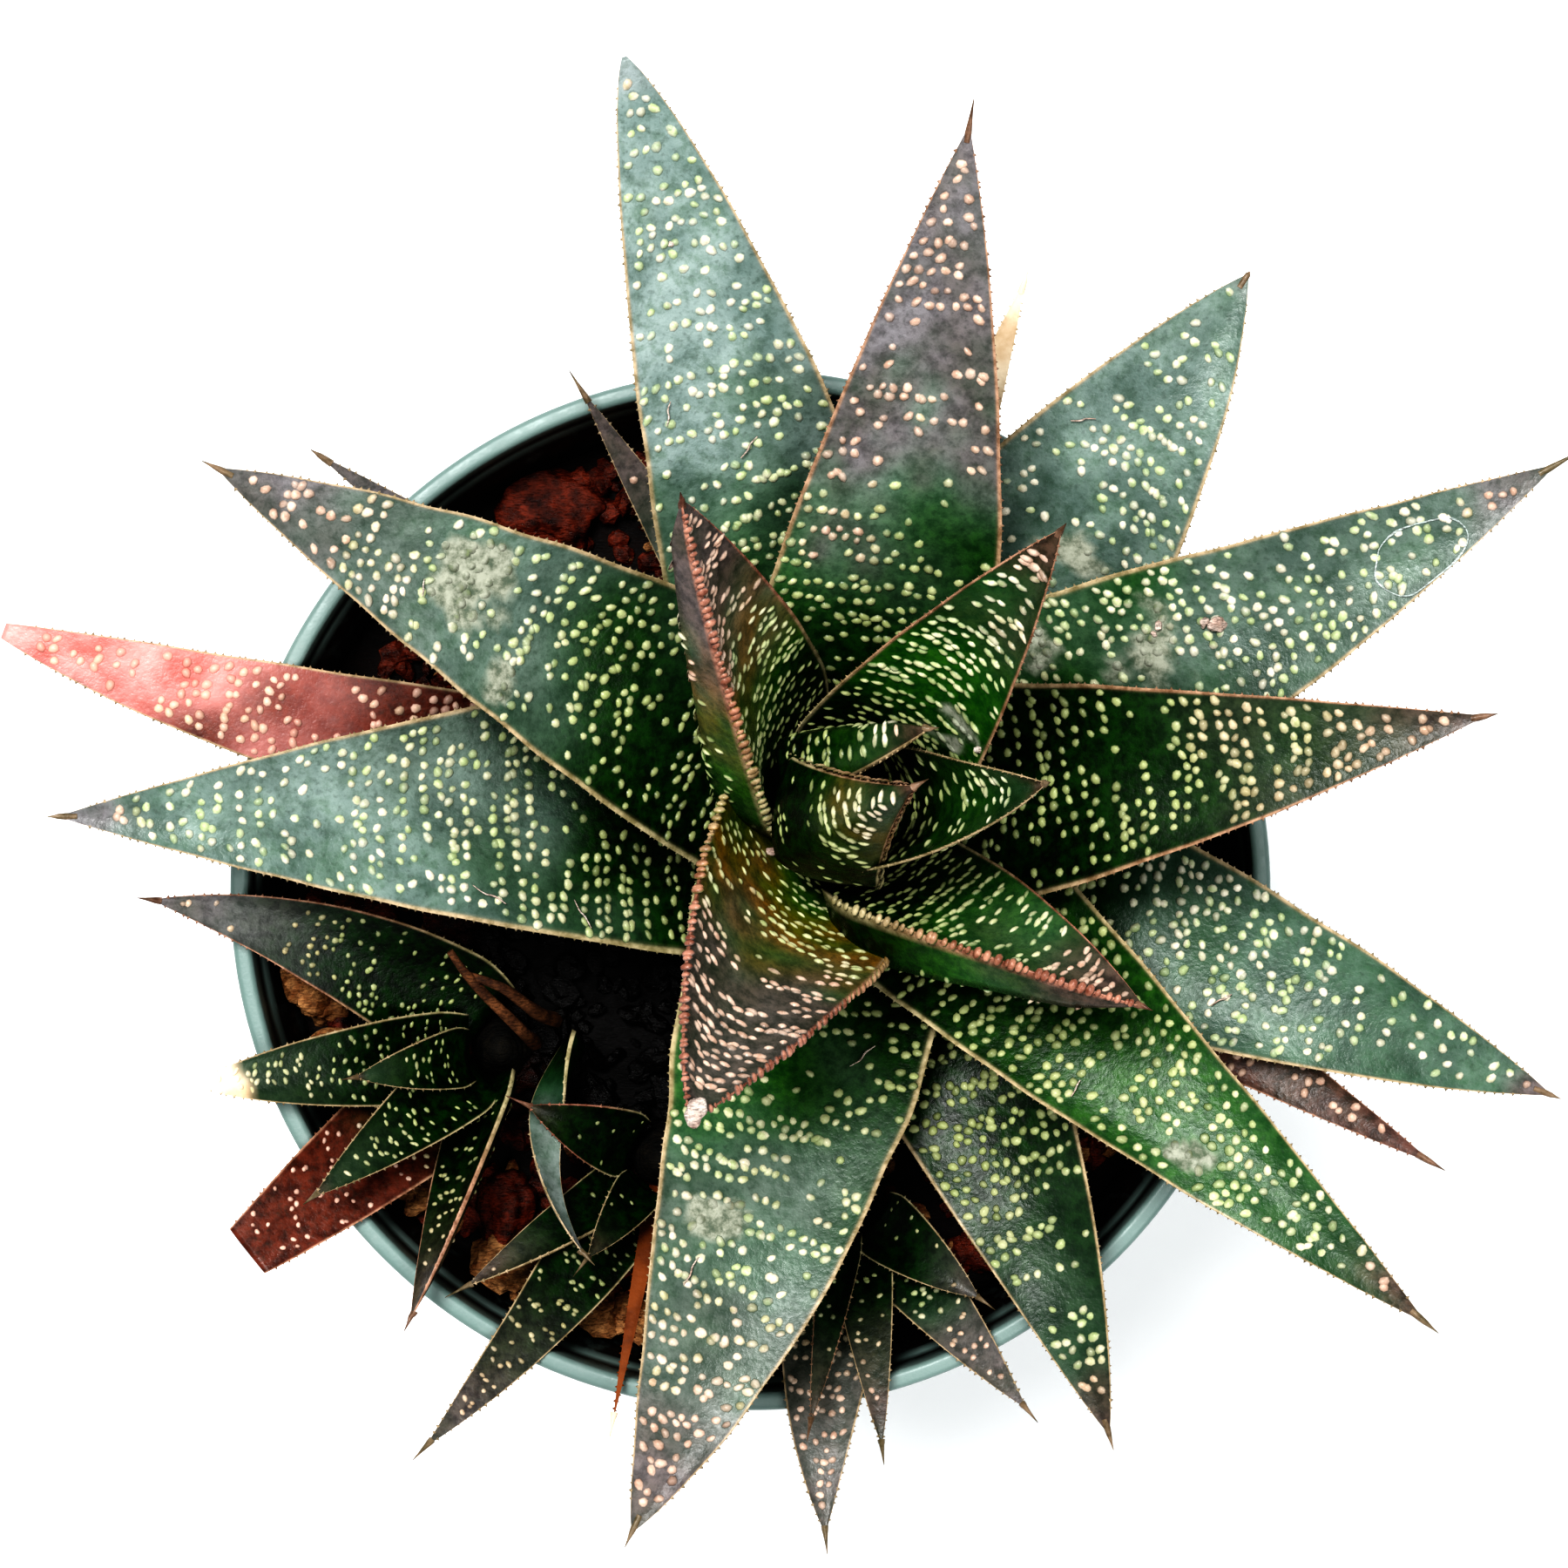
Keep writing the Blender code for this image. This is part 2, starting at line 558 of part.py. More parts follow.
def main():
    clear_scene()
    parts = new_collection("potted_gasteria", False)
    cutters = new_collection("cutters", True)
    plastic = new_material("grey_teal_plastic", (0.30, 0.45, 0.42), 0.4)
    mix = new_material("growing_mix", (0.06, 0.035, 0.02), 0.9)
    cork = new_material("stem_cork", (0.22, 0.15, 0.09), 0.8)
    green = new_material("leaf_green", (0.03, 0.09, 0.04), 0.35)
    red = new_material("leaf_red", (0.5, 0.16, 0.12), 0.45)
    dry = new_material("dry_straw", (0.28, 0.15, 0.07), 0.8)
    stones = {
        "pumice": new_material("pumice_chip", (0.45, 0.33, 0.2), 0.9),
        "bark": new_material("bark_chip", (0.2, 0.08, 0.04), 0.7),
    }

    pot = turned("pot", pot_profile(), POT_SEGMENTS, parts, plastic)
    cut_drain_holes(pot, cutters)
    room_for_pot = turned("room_pot", pot_profile(CLEARANCE), POT_SEGMENTS, cutters)

    stem_rooms = {}
    for plant, (x, y) in PLANTS.items():
        radius = PUP_STEM_RADIUS
        height = PUP_STEM_HEIGHT
        if plant == "main":
            radius = STEM_RADIUS
            height = STEM_HEIGHT
        name = "stem_" + plant
        turned(name, stem_profile(radius, height), 12, parts, cork, centre=(x, y))
        room = stem_profile(radius, height, CLEARANCE)
        stem_rooms[plant] = turned("room_" + name, room, 12, cutters, centre=(x, y))

    rooms = []
    for leaf in LEAVES:
        verts, faces = leaf_solid(leaf, CLEARANCE)
        rooms.append(build_mesh("room_" + leaf.name, verts, faces, cutters))

    for i, leaf in enumerate(LEAVES):
        skin = green
        if leaf.name in ("leaf_04", "pup_left_leaf_2"):
            skin = red
        if leaf.name in ("leaf_03", "pup_centre_leaf_5"):
            skin = dry
        verts, faces = leaf_solid(leaf)
        obj = build_mesh(leaf.name, verts, faces, parts, skin)
        others = list(stem_rooms.values()) + rooms[i + 1 :] + [room_for_pot]
        carve(obj, others, leaf_ends(leaf)[1])

    stalk_paths = {
        "flower_stalk_1": [(-27, -14, SOIL_TOP - 3), (-28, -9, SOIL_TOP + 4), (-28.5, -6, SOIL_TOP + 7)],
        "flower_stalk_2": [(-22, -11, SOIL_TOP - 3), (-25, -8, SOIL_TOP + 5), (-27, -5.0, SOIL_TOP + 10)],
    }
    small_rooms = []
    for name, path in stalk_paths.items():
        verts, faces = tapered_rod(path, (0.9, 0.8, 0.6), 8)
        stalk = build_mesh(name, verts, faces, parts, dry)
        carve(stalk, rooms + list(stem_rooms.values()) + small_rooms, path[-1])
        verts, faces = tapered_rod(path, (0.9, 0.8, 0.6), 8, CLEARANCE)
        small_rooms.append(build_mesh("room_" + name, verts, faces, cutters))

    for name, (x, y), size, turn, seed, kind in CHIPS:
        centre = (x, y, soil_height(x, y) + 0.2 * size[2])
        verts, faces = chip_solid(size, turn, seed, centre)
        chip = build_mesh(name, verts, faces, parts, stones[kind])
        carve(chip, rooms + list(stem_rooms.values()) + small_rooms + [room_for_pot], centre)
        verts, faces = chip_solid(size, turn, seed, centre, CLEARANCE)
        small_rooms.append(build_mesh("room_" + name, verts, faces, cutters))

    soil = soil_solid(parts, mix)
    carve(soil, rooms + list(stem_rooms.values()) + small_rooms, (0, 0, POT_FLOOR))


main()
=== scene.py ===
import math

import bmesh
import bpy
import numpy as np
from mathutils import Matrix, Vector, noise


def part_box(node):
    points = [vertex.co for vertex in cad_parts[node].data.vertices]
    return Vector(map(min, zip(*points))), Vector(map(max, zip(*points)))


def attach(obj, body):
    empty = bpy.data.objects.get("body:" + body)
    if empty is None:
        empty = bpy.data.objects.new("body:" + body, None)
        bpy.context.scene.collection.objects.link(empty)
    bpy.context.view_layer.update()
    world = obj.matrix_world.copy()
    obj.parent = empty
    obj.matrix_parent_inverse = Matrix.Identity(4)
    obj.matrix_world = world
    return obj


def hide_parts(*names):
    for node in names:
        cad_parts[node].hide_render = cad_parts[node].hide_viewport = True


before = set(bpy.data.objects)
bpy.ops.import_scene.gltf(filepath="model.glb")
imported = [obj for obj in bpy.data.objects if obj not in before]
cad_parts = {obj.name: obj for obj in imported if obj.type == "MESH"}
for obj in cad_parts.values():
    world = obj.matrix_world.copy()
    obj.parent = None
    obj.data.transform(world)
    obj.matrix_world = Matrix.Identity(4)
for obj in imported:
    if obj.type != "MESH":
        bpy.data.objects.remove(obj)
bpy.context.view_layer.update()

# Looks of the potted gasteria. Shapes are worked out in millimetres in the CAD's frame and
# stored in metres. The pot, the soil and the leaves repeat the design values of the CAD.

MM = 0.001

# ---- places that come from the CAD ----
POT_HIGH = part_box("pot")[1]
POT_HEIGHT = POT_HIGH.z / MM
POT_RIM_RADIUS = POT_HIGH.x / MM
SOIL_BELOW_RIM = 12.0
SOIL_TOP = POT_HEIGHT - SOIL_BELOW_RIM
PLANTS = {
    "main": (9.0, 8.0),
    "pup_left": (-25.0, -16.0),
    "pup_centre": (-9.0, -27.0),
    "pup_front": (10.0, -31.0),
}

# ---- pot and soil, as in the CAD ----
POT_BASE_RADIUS = 36.0
POT_WALL = 1.4
POT_FLOOR = 1.8
RIM_BAND_HEIGHT = 8.0
RIM_STEP = 1.6
RIM_THICKNESS = 1.8
RIM_ROUND = 0.6
DRAIN_HOLE_RADIUS = 4.0
DRAIN_HOLE_COUNT = 6
DRAIN_CIRCLE_RADIUS = 25.0
POT_SEGMENTS = 224
HOLE_SEGMENTS = 48
SOIL_MOUND = 2.0
SOIL_BUMP = 0.5
SOIL_SEGMENTS = 160
SOIL_RINGS = 56
SOIL_GAP = 0.3  # between the soil and the pot, or the top of the soil and its lumps

# ---- details of a leaf's skin ----
DOT_SIDES = 8
DOT_RINGS = ((0.45, 0.86, 1.0), (0.8, 0.42, 0.85), (1.12, -0.2, 0.0))  # width, rise, paleness
DOT_RADIUS = (0.38, 0.54)
BEAD_SIDES = 8
BEAD_RINGS = ((0.5, 0.66), (0.85, 0.3), (1.0, -0.25))  # width, rise
BEAD_RADIUS = (0.24, 0.42)
BEAD_STEP = 0.78
TOOTH_SIDES = 6
TOOTH_SIZE = (0.13, 0.27)
TOOTH_STEP = 0.8
SPINE_SIDES = 7
SPINE_RADII = (0.38, 0.34, 0.27, 0.14, 0.03)

# ---- loose pieces ----
WALL_GAP = 0.35  # between a loose piece and the pot's wall
SCATTER_GAP = 1.5
OPEN_SKY = (26.0, 39.0)  # distance from the pot's axis where the leaves' shade ends
BARK_COUNT = 1500
BARK_SIZE = (1.3, 4.2)
PUMICE_COUNT = 170
PUMICE_SIZE = (1.0, 2.8)
PUMICE_CHIPS = ("chip_01", "chip_02", "chip_03", "chip_05")
SHARD_TURNS = (194, 188, 206, 223, 227, 236, 249, 253, 257, 262)
SHARD_SPREAD = (184, 268)
SHARDS_MORE = 16
SHARD_SIZE = (4.5, 7.5)
SHARD_REACH = (44.6, 46.0)

# Grit: leaf, share along, share across, size.
GRIT = (
    ("leaf_12", 0.52, -0.17, 1.7), ("leaf_12", 0.505, -0.24, 1.1), ("leaf_12", 0.45, -0.39, 0.9),
    ("leaf_12", 0.44, -0.33, 0.6), ("leaf_17", 0.09, 0.29, 1.0), ("leaf_17", 0.985, 0.0, 2.2),
    ("leaf_17", 0.96, 0.3, 1.2), ("leaf_20", 0.37, 0.9, 0.8), ("leaf_11", 0.75, -0.19, 0.6),
)
# Fibres: leaf, share along, share across, length, turn from the leaf's own direction.
FIBRES = (
    ("leaf_09", 0.42, -0.8, 3.6, 30), ("leaf_09", 0.31, -0.9, 3.0, 60),
    ("leaf_10", 0.28, -0.58, 3.2, 40), ("leaf_11", 0.46, -0.06, 4.6, 70),
    ("leaf_11", 0.53, -0.73, 2.2, 20), ("leaf_07", 0.66, -0.7, 2.4, 50),
    ("leaf_13", 0.45, 0.5, 2.6, 80), ("leaf_10", 0.62, 0.45, 3.4, 25),
    ("leaf_08", 0.55, 0.3, 2.8, 120), ("leaf_15", 0.66, -0.3, 2.2, 75),
)
FIBRE_BENDS = (0.0, 0.25, -0.1, 0.3)
FIBRE_RADII = (0.05, 0.09, 0.08, 0.04)
FIBRE_LIFT = 0.35
FILM_LEAF = "leaf_12"
FILM_EDGE = (
    (0.741, -0.04), (0.727, 0.27), (0.737, 0.62), (0.756, 0.88), (0.79, 0.95), (0.835, 0.93),
    (0.858, 0.57), (0.849, -0.09), (0.81, -0.35), (0.776, -0.37), (0.751, -0.21), (0.741, -0.04),
)
FILM_RADII = (0.07, 0.13, 0.06, 0.11) * 3
FILM_LIFT = 0.08

# Stem outline from its foot to its top: share of the radius, share of the height.
STEM_OUTLINE = ((0.55, 0.0), (0.9, 0.06), (1.0, 0.2), (0.95, 0.5), (0.75, 0.75), (0.45, 0.92), (0.1, 1.0))
STEM_SEGMENTS = 48
STEM_RINGS = 60
TUBE_STEPS = 12
STALKS = {
    "flower_stalk_1": (
        (-21.5, -16.5, SOIL_TOP - 3), (-22.5, -14, SOIL_TOP + 9), (-26.5, -9.3, SOIL_TOP + 14.5),
        (-29, -5.8, SOIL_TOP + 16.5),
    ),
    "flower_stalk_2": (
        (-19, -14, SOIL_TOP - 3), (-21, -12.2, SOIL_TOP + 9), (-24, -9.5, SOIL_TOP + 14),
        (-27.8, -8, SOIL_TOP + 15),
    ),
}
STALK_RADII = (0.85, 0.65, 0.5, 0.35)

# ---- camera, lamps and floor ----
CAMERA_X = 3.3
CAMERA_Y = 10.4
CAMERA_ABOVE_RIM = 350.0
LENS = 82.1
LAMPS = (("key", (-0.26, 0.34, 1.25), 0.45, 13.5), ("fill", (0.4, -0.25, 1.2), 0.6, 4.5))
WORLD_COLOUR = (0.96, 0.98, 1.0, 1.0)
WORLD_STRENGTH = 0.36
FLOOR_HALF = 3.0

# ---- leaves ----
LEAF_SHAPE = {
    "arch": 8.0, "bow": 0.0, "root_radius": 3.0, "taper": 1.4, "blunt": 0.9, "roll": 0.0,
    "channel": 0.12, "keel": 0.1, "turns": True, "cut": 1.0,
}
LEAF_LOOKS = {
    "red": 0.0, "dead": 0.0, "streak": 0.0, "dot_size": 1.0, "spacing": 1.0, "pink_edge": 0.3,
    "gold": 0.0, "gold_at": 0.5, "lean": 0.0, "turn": (0.22, 0.62), "beads": (), "scars": (),
    "slot": "leaf_green",
}
LEAF_COLUMNS = ("young", "deep", "frost", "brown", "tip_brown", "dots", "spine")


class Leaf:
    """One leaf: the CAD's values first, then how it looks.

    root is (azimuth, height above the soil) and tip is (azimuth, reach, height above the rim).
    The keys of LEAF_SHAPE bend and cut the blade as in the CAD, and facing is where it points.
    looks holds, in the order of LEAF_COLUMNS: how far up the bright green base and the painted
    shade at the base reach, the blue-grey bloom with a painted sheen on it, the tan over the blade,
    the share of the end that is purple-brown, how thickly the pale tubercles stand, and the length
    of the hair at the tip. red and dead are withered colours. streak draws the tubercles out
    sideways. gold is an amber band about gold_at. lean tilts the painted shade at the base towards
    one margin. turn is where the tan starts and where it is full. beads are the margins that carry
    beads. scars are corky patches.
    """

    def __init__(self, name, root, tip, width, thick, looks, **more):
        self.name = name
        self.plant = name.split("_leaf_")[0] if "_leaf_" in name else "main"
        self.root = root
        self.tip = tip
        self.width = width
        self.thick = thick
        self.facing = root[0]
        for key, value in {**LEAF_SHAPE, **LEAF_LOOKS, **more}.items():
            setattr(self, key, value)
        for key, value in zip(LEAF_COLUMNS, looks):
            setattr(self, key, value)


LEAVES = [
    # offset at the left
    Leaf("pup_left_leaf_1", (130, 4), (155, 36, 5), 12, 4.5, (0.2, 0.85, 0.6, 0.85, 0.35, 0.8, 1.5), arch=2,
         bow=-4, taper=1.3, dot_size=0.7, spacing=0.75, pink_edge=0.8),
    Leaf("pup_left_leaf_2", (220, 4), (218.5, 30.3, 4), 12, 4, (0, 0.35, 0.1, 1, 0.1, 0.6, 0), arch=2,
         cut=0.72, red=0.5, dot_size=0.6, spacing=0.75, pink_edge=0.8, slot="leaf_red"),
    Leaf("pup_left_leaf_3", (186, 6), (185, 28, 6), 9, 4, (0.4, 0.85, 0.1, 0.3, 0.12, 0.8, 0), arch=3,
         taper=1.6, blunt=0.7, dead=0.2, streak=0.3, dot_size=0.65, spacing=0.7),
    Leaf("pup_left_leaf_4", (252, 6), (253, 26, 6), 8, 3.5, (0.3, 0.9, 0.1, 0.7, 0.4, 0.6, 1.5), arch=3,
         roll=-50, streak=0.3, dot_size=0.65, spacing=0.75, pink_edge=0.8),
    Leaf("pup_left_leaf_5", (218, 8), (218, 21, 8), 8, 4, (0.5, 0.95, 0.1, 0.3, 0.12, 0.8, 1.5), arch=3,
         channel=0.3, streak=0.5, dot_size=0.65, spacing=0.7),
    Leaf("pup_left_leaf_6", (188, 9), (188, 13, 6), 6, 3, (0.6, 0.95, 0.1, 0.3, 0.12, 0.8, 1.5), arch=3,
         channel=0.3, streak=0.5, dot_size=0.65, spacing=0.7),
    Leaf("pup_left_leaf_7", (10, 5), (295, 21.2, 3), 4, 2, (0, 0.2, 0.8, 0.4, 0.12, 0, 1.5), arch=2, bow=-6,
         root_radius=7, roll=60),
    # offset under the front leaf
    Leaf("pup_centre_leaf_1", (229, 3), (230, 34.5, 5), 9, 4.5, (0.1, 0.85, 0.3, 0.8, 0.5, 0.8, 2), arch=2,
         bow=1.5, taper=1.3, streak=0.3, dot_size=0.65, spacing=0.75),
    Leaf("pup_centre_leaf_2", (214, 5), (212, 22, 0), 6, 3.5, (0, 0.9, 0.2, 0.7, 0.4, 0.15, 2.5), arch=2,
         roll=-30, dot_size=0.6),
    Leaf("pup_centre_leaf_3", (155, 5), (155, 14, 0), 7, 3.5, (0, 1.1, 0.05, 0.6, 0.3, 0.3, 2.5), arch=3,
         channel=0.25, dot_size=0.55, pink_edge=1),
    Leaf("pup_centre_leaf_4", (234, 7), (232, 11, 2), 5, 3, (0, 1.1, 0.1, 0.5, 0.4, 0.3, 2.5), arch=2,
         channel=0.25, dot_size=0.55),
    Leaf("pup_centre_leaf_5", (262, 3), (260, 24.5, 3), 1.9, 1.2, (0.3, 0, 0.3, 0.1, 0.12, 0, 2), arch=2,
         channel=0, dead=1, gold=1, slot="dry_straw"),
    # offset at the front
    Leaf("pup_front_leaf_1", (265, 4), (265, 31, 5), 11, 4.5, (0.1, 0.5, 0.4, 0.8, 0.3, 0.9, 2), arch=3,
         bow=-2.5, taper=1.5, dot_size=0.8, spacing=0.8),
    Leaf("pup_front_leaf_2", (311, 4), (311.5, 25, 5), 8, 4, (0.1, 0.55, 0.4, 0.9, 0.4, 0.8, 2), arch=2,
         dot_size=0.7, spacing=0.8),
    Leaf("pup_front_leaf_3", (284, 6), (277, 22.5, 5), 6, 3.5, (0.1, 0.65, 0.2, 0.8, 0.4, 0.6, 2), arch=2,
         dot_size=0.65, spacing=0.8),
    Leaf("pup_front_leaf_4", (325, 7), (325, 15, 2), 7, 3.5, (0.1, 0.85, 0.3, 0.7, 0.4, 0.3, 2), arch=2,
         channel=0.25, dot_size=0.6),
    Leaf("pup_front_leaf_5", (255, 8), (258, 20, 8), 4, 2.5, (0.1, 0.75, 0.2, 0.7, 0.4, 0.3, 2), arch=3,
         channel=0.25, dot_size=0.6, pink_edge=0.7),
    # main rosette, thin old leaves
    Leaf("leaf_01", (122, 3), (122, 47.5, 4), 8, 4, (0, 0.4, 0.3, 0.5, 0.4, 0.3, 2.5), arch=3),
    Leaf("leaf_02", (146, 4), (146, 60.5, 8), 9, 4.5, (0, 0.4, 0.5, 0.5, 0.4, 0.5, 1), arch=4),
    Leaf("leaf_03", (70, 3), (71, 54, 4), 7, 3, (0.3, 0, 0.3, 0.1, 0.12, 0, 1), arch=3, taper=2, dead=1,
         slot="dry_straw"),
    # main rosette, outer ring
    Leaf("leaf_04", (168, 3), (168, 83.5, 3), 14, 4, (0, 0.3, 0, 0, 0.02, 0.9, 0), arch=6, bow=5.5, taper=2,
         blunt=0.8, channel=0, cut=0.975, red=1, spacing=0.9, slot="leaf_red"),
    Leaf("leaf_05", (330, 3), (329, 66, 6), 13, 5, (0, 0.6, 0.2, 1, 0.6, 0.9, 1.5), arch=4, taper=1.3,
         red=0.25, pink_edge=0.8),
    Leaf("leaf_06", (292, 4), (293, 65, 8), 23, 7, (0.7, 0.95, 0.15, 0.1, 0.1, 1.1, 1.5), bow=3, roll=-12),
    Leaf("leaf_07", (50, 6), (53, 63, 14), 27, 8, (0.1, 0.3, 0.75, 0.05, 0.03, 1, 0.3), bow=-2, taper=1.9,
         scars=((0.5, 0.1, 2.5),)),
    Leaf("leaf_08", (335, 6), (338, 72.5, 10), 23, 8, (0.15, 0.4, 0.32, 0, 0.06, 1.1, 1), taper=1.6),
    Leaf("leaf_09", (184, 8), (180.5, 73.5, 16), 29, 9, (0.35, 0.52, 0.8, 0, 0.08, 1.1, 1), taper=1.25,
         blunt=0.95, lean=0.3),
    Leaf("leaf_10", (262, 10), (253.5, 69.5, 20), 26, 9, (0.55, 0.3, 0.45, 0.35, 0.2, 1.2, 1.5), bow=5,
         taper=1.6, blunt=0.85, turn=(0.35, 0.8), lean=-0.8, scars=((0.55, 0.3, 3),)),
    # main rosette, middle ring
    Leaf("leaf_11", (105, 13), (106.5, 71, 28), 24.5, 9, (0.4, 0.38, 1.15, 0, 0.04, 1.1, 0), bow=-1,
         taper=1.3, blunt=0.75, lean=0.7),
    Leaf("leaf_12", (22, 14), (26, 71.5, 26), 26, 9, (0.4, 0.3, 0.5, 0.15, 0.12, 1.1, 3), bow=-2, taper=1.3,
         blunt=0.95, scars=((0.42, -0.1, 4), (0.3, -0.5, 2))),
    Leaf("leaf_13", (318, 15), (318.5, 70, 26), 21, 9, (0.9, 0.52, 0.08, 0.05, 0.1, 1.25, 1.5), bow=-1,
         taper=1.3, blunt=0.95, scars=((0.62, 0.2, 2),)),
    Leaf("leaf_14", (82, 18), (80, 61.5, 34), 24, 9, (0.7, 0.4, 0.7, 1, 0.15, 1.15, 2.5), bow=-0.5,
         blunt=0.95, pink_edge=0.7, turn=(0.36, 0.66), lean=0.3),
    Leaf("leaf_15", (155, 19), (151.5, 63.5, 34), 23, 9, (0.5, 0.5, 0.6, 0.3, 0.2, 1.1, 1.5), bow=-1.5,
         taper=1.5, turn=(0.4, 0.8), scars=((0.6, 0.1, 4), (0.5, -0.4, 2.2))),
    Leaf("leaf_16", (5, 21), (8.5, 57, 34), 22, 9, (0.7, 0.8, 0.15, 0.5, 0.2, 1.15, 1), bow=-1, taper=1.3,
         blunt=1, pink_edge=0.7, turn=(0.35, 0.75)),
    # main rosette, inner ring
    Leaf("leaf_17", (225, 24), (242.5, 29.5, 46), 22, 6, (0.5, 0.04, 0.3, 0.85, 0.12, 1.2, 0), arch=4,
         root_radius=6, roll=5, channel=0.4, streak=0.6, spacing=0.85, pink_edge=1, gold=1, beads=(-1, 1),
         turn=(0.3, 0.58), gold_at=0.27),
    Leaf("leaf_18", (144, 26), (118.5, 30, 48), 17, 5, (0.6, 0.22, 0.3, 1, 0.3, 1.1, 1), arch=4,
         root_radius=6, roll=-55, channel=0.2, keel=-0.75, turns=False, streak=0.8, spacing=0.85,
         pink_edge=1, gold=0.9, beads=(-1,), turn=(0.46, 0.74), gold_at=0.48, facing=110),
    Leaf("leaf_19", (293, 28), (326.5, 31.2, 34), 14, 6, (0.7, 0.36, 0.1, 0.5, 0.3, 1.2, 1), arch=4,
         bow=1.2, root_radius=6, roll=45, channel=0.15, keel=0.85, turns=False, streak=0.8, spacing=0.8,
         pink_edge=1, beads=(1,), turn=(0.4, 0.8), facing=334),
    Leaf("leaf_20", (55, 30), (53.5, 29.5, 50), 16, 7, (0.7, 0.36, 0, 0.35, 0.15, 1.2, 1), arch=4,
         channel=0.35, streak=0.6, spacing=0.85, pink_edge=0.8, turn=(0.5, 0.9), scars=((0.35, 0.45, 2),)),
    # main rosette, bud
    Leaf("leaf_21", (340, 34), (8.5, 16.6, 48), 12, 4, (0.7, 0.6, 0, 0.1, 0.1, 1.2, 0.8), arch=3,
         channel=0.6, streak=0.8, spacing=0.75),
    Leaf("leaf_22", (136, 36), (46, 10, 40), 8, 3, (0.7, 0.6, 0, 0.2, 0.2, 1.2, 1), arch=2, root_radius=6,
         channel=0.3, turns=False, streak=0.8, spacing=0.75),
    Leaf("leaf_23", (215, 37), (22, 6.2, 43), 14, 3, (0.6, 0.5, 0, 0.3, 0.15, 1.2, 1.2), arch=5,
         root_radius=5, taper=0.85, blunt=1.1, channel=0.4, keel=0, turns=False, streak=0.8, spacing=0.75,
         pink_edge=0.6, gold=0.4, beads=(-1, 1)),
]
for number, leaf in enumerate(LEAVES):
    leaf.number = number
ZONE_KEYS = ("young", "deep", "frost", "brown", "gold", "scar", "dead", "red", "pink", "along")


# ---- small helpers ----
def link(obj):
    bpy.context.scene.collection.objects.link(obj)
    return obj


def make_object(name, points, faces, material, node=None, smooth=True, attributes=None):
    """A mesh piece from points in millimetres, riding on the pot's body."""
    mesh = bpy.data.meshes.new(name)
    points = np.asarray(points, float) * MM
    mesh.from_pydata(points.tolist(), [], faces)
    mesh.materials.append(material)
    mesh.polygons.foreach_set("use_smooth", [smooth] * len(mesh.polygons))
    for key, values in (attributes or {}).items():
        layer = mesh.attributes.new(key, "FLOAT", "POINT")
        layer.data.foreach_set("value", np.asarray(values, np.float32))
    mesh.update()
    obj = link(bpy.data.objects.new(name, mesh))
    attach(obj, "root")
    if node:
        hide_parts(node)
    return obj


class Pile:
    """Points and faces of many small pieces that make one object."""

    def __init__(self):
        self.points = []
        self.faces = []

    def add(self, points, faces):
        self.faces += [tuple(v + len(self.points) for v in face) for face in faces]
        self.points += list(points)


def wobble(points, size, seed):
    """Smooth, repeatable unevenness from -1 to 1 with bumps about size millimetres across."""
    rng = np.random.default_rng(seed)
    total = np.zeros(len(points))
    for _ in range(7):
        direction = rng.normal(size=3)
        direction *= rng.uniform(0.7, 1.4) * math.pi / (size * np.linalg.norm(direction))
        total += np.sin(points @ direction + rng.uniform(0, 2 * math.pi))
    return total / 3.2


def smoothstep(low, high, values):
    share = np.clip((values - low) / (high - low), 0, 1)
    return share * share * (3 - 2 * share)


def unit(vectors, least=0.0):
    """Each row at length 1. least keeps a row of zeros from dividing by zero."""
    return vectors / (np.linalg.norm(vectors, axis=1)[:, None] + least)


def polar(centre, azimuth, reach, height):
    angle = math.radians(azimuth)
    return np.array([centre[0] + reach * math.cos(angle), centre[1] + reach * math.sin(angle), height])


def circle(radius, segments):
    angles = [2 * math.pi * k / segments for k in range(segments)]
    return [(radius * math.cos(angle), radius * math.sin(angle)) for angle in angles]


def loop_faces(loops, size, flip=False):
    """Faces between loops of size points that follow one another."""
    faces = []
    for i in range(loops - 1):
        for j in range(size):
            a = i * size + j
            b = i * size + (j + 1) % size
            faces.append((a, b, b + size, a + size) if flip else (a, a + size, b + size, b))
    return faces


def ring_faces(rings, segments):
    """Faces between rings of point numbers, where a ring of one point is a pole."""
    faces = []
    for lower, upper in zip(rings, rings[1:]):
        for k in range(segments):
            n = (k + 1) % segments
            if len(lower) == 1:
                faces.append((lower[0], upper[n], upper[k]))
            elif len(upper) == 1:
                faces.append((lower[k], lower[n], upper[0]))
            else:
                faces.append((lower[k], lower[n], upper[n], upper[k]))
    return faces


def dome_faces(count, sides, rings):
    """Faces of count domes, each with its middle point first and then its rings."""
    size = 1 + sides * rings
    one = []
    for k in range(sides):
        n = (k + 1) % sides
        one.append((0, 1 + k, 1 + n))
        for ring in range(rings - 1):
            a = 1 + ring * sides
            one.append((a + k, a + sides + k, a + sides + n, a + n))
    return [tuple(v + i * size for v in face) for i in range(count) for face in one]


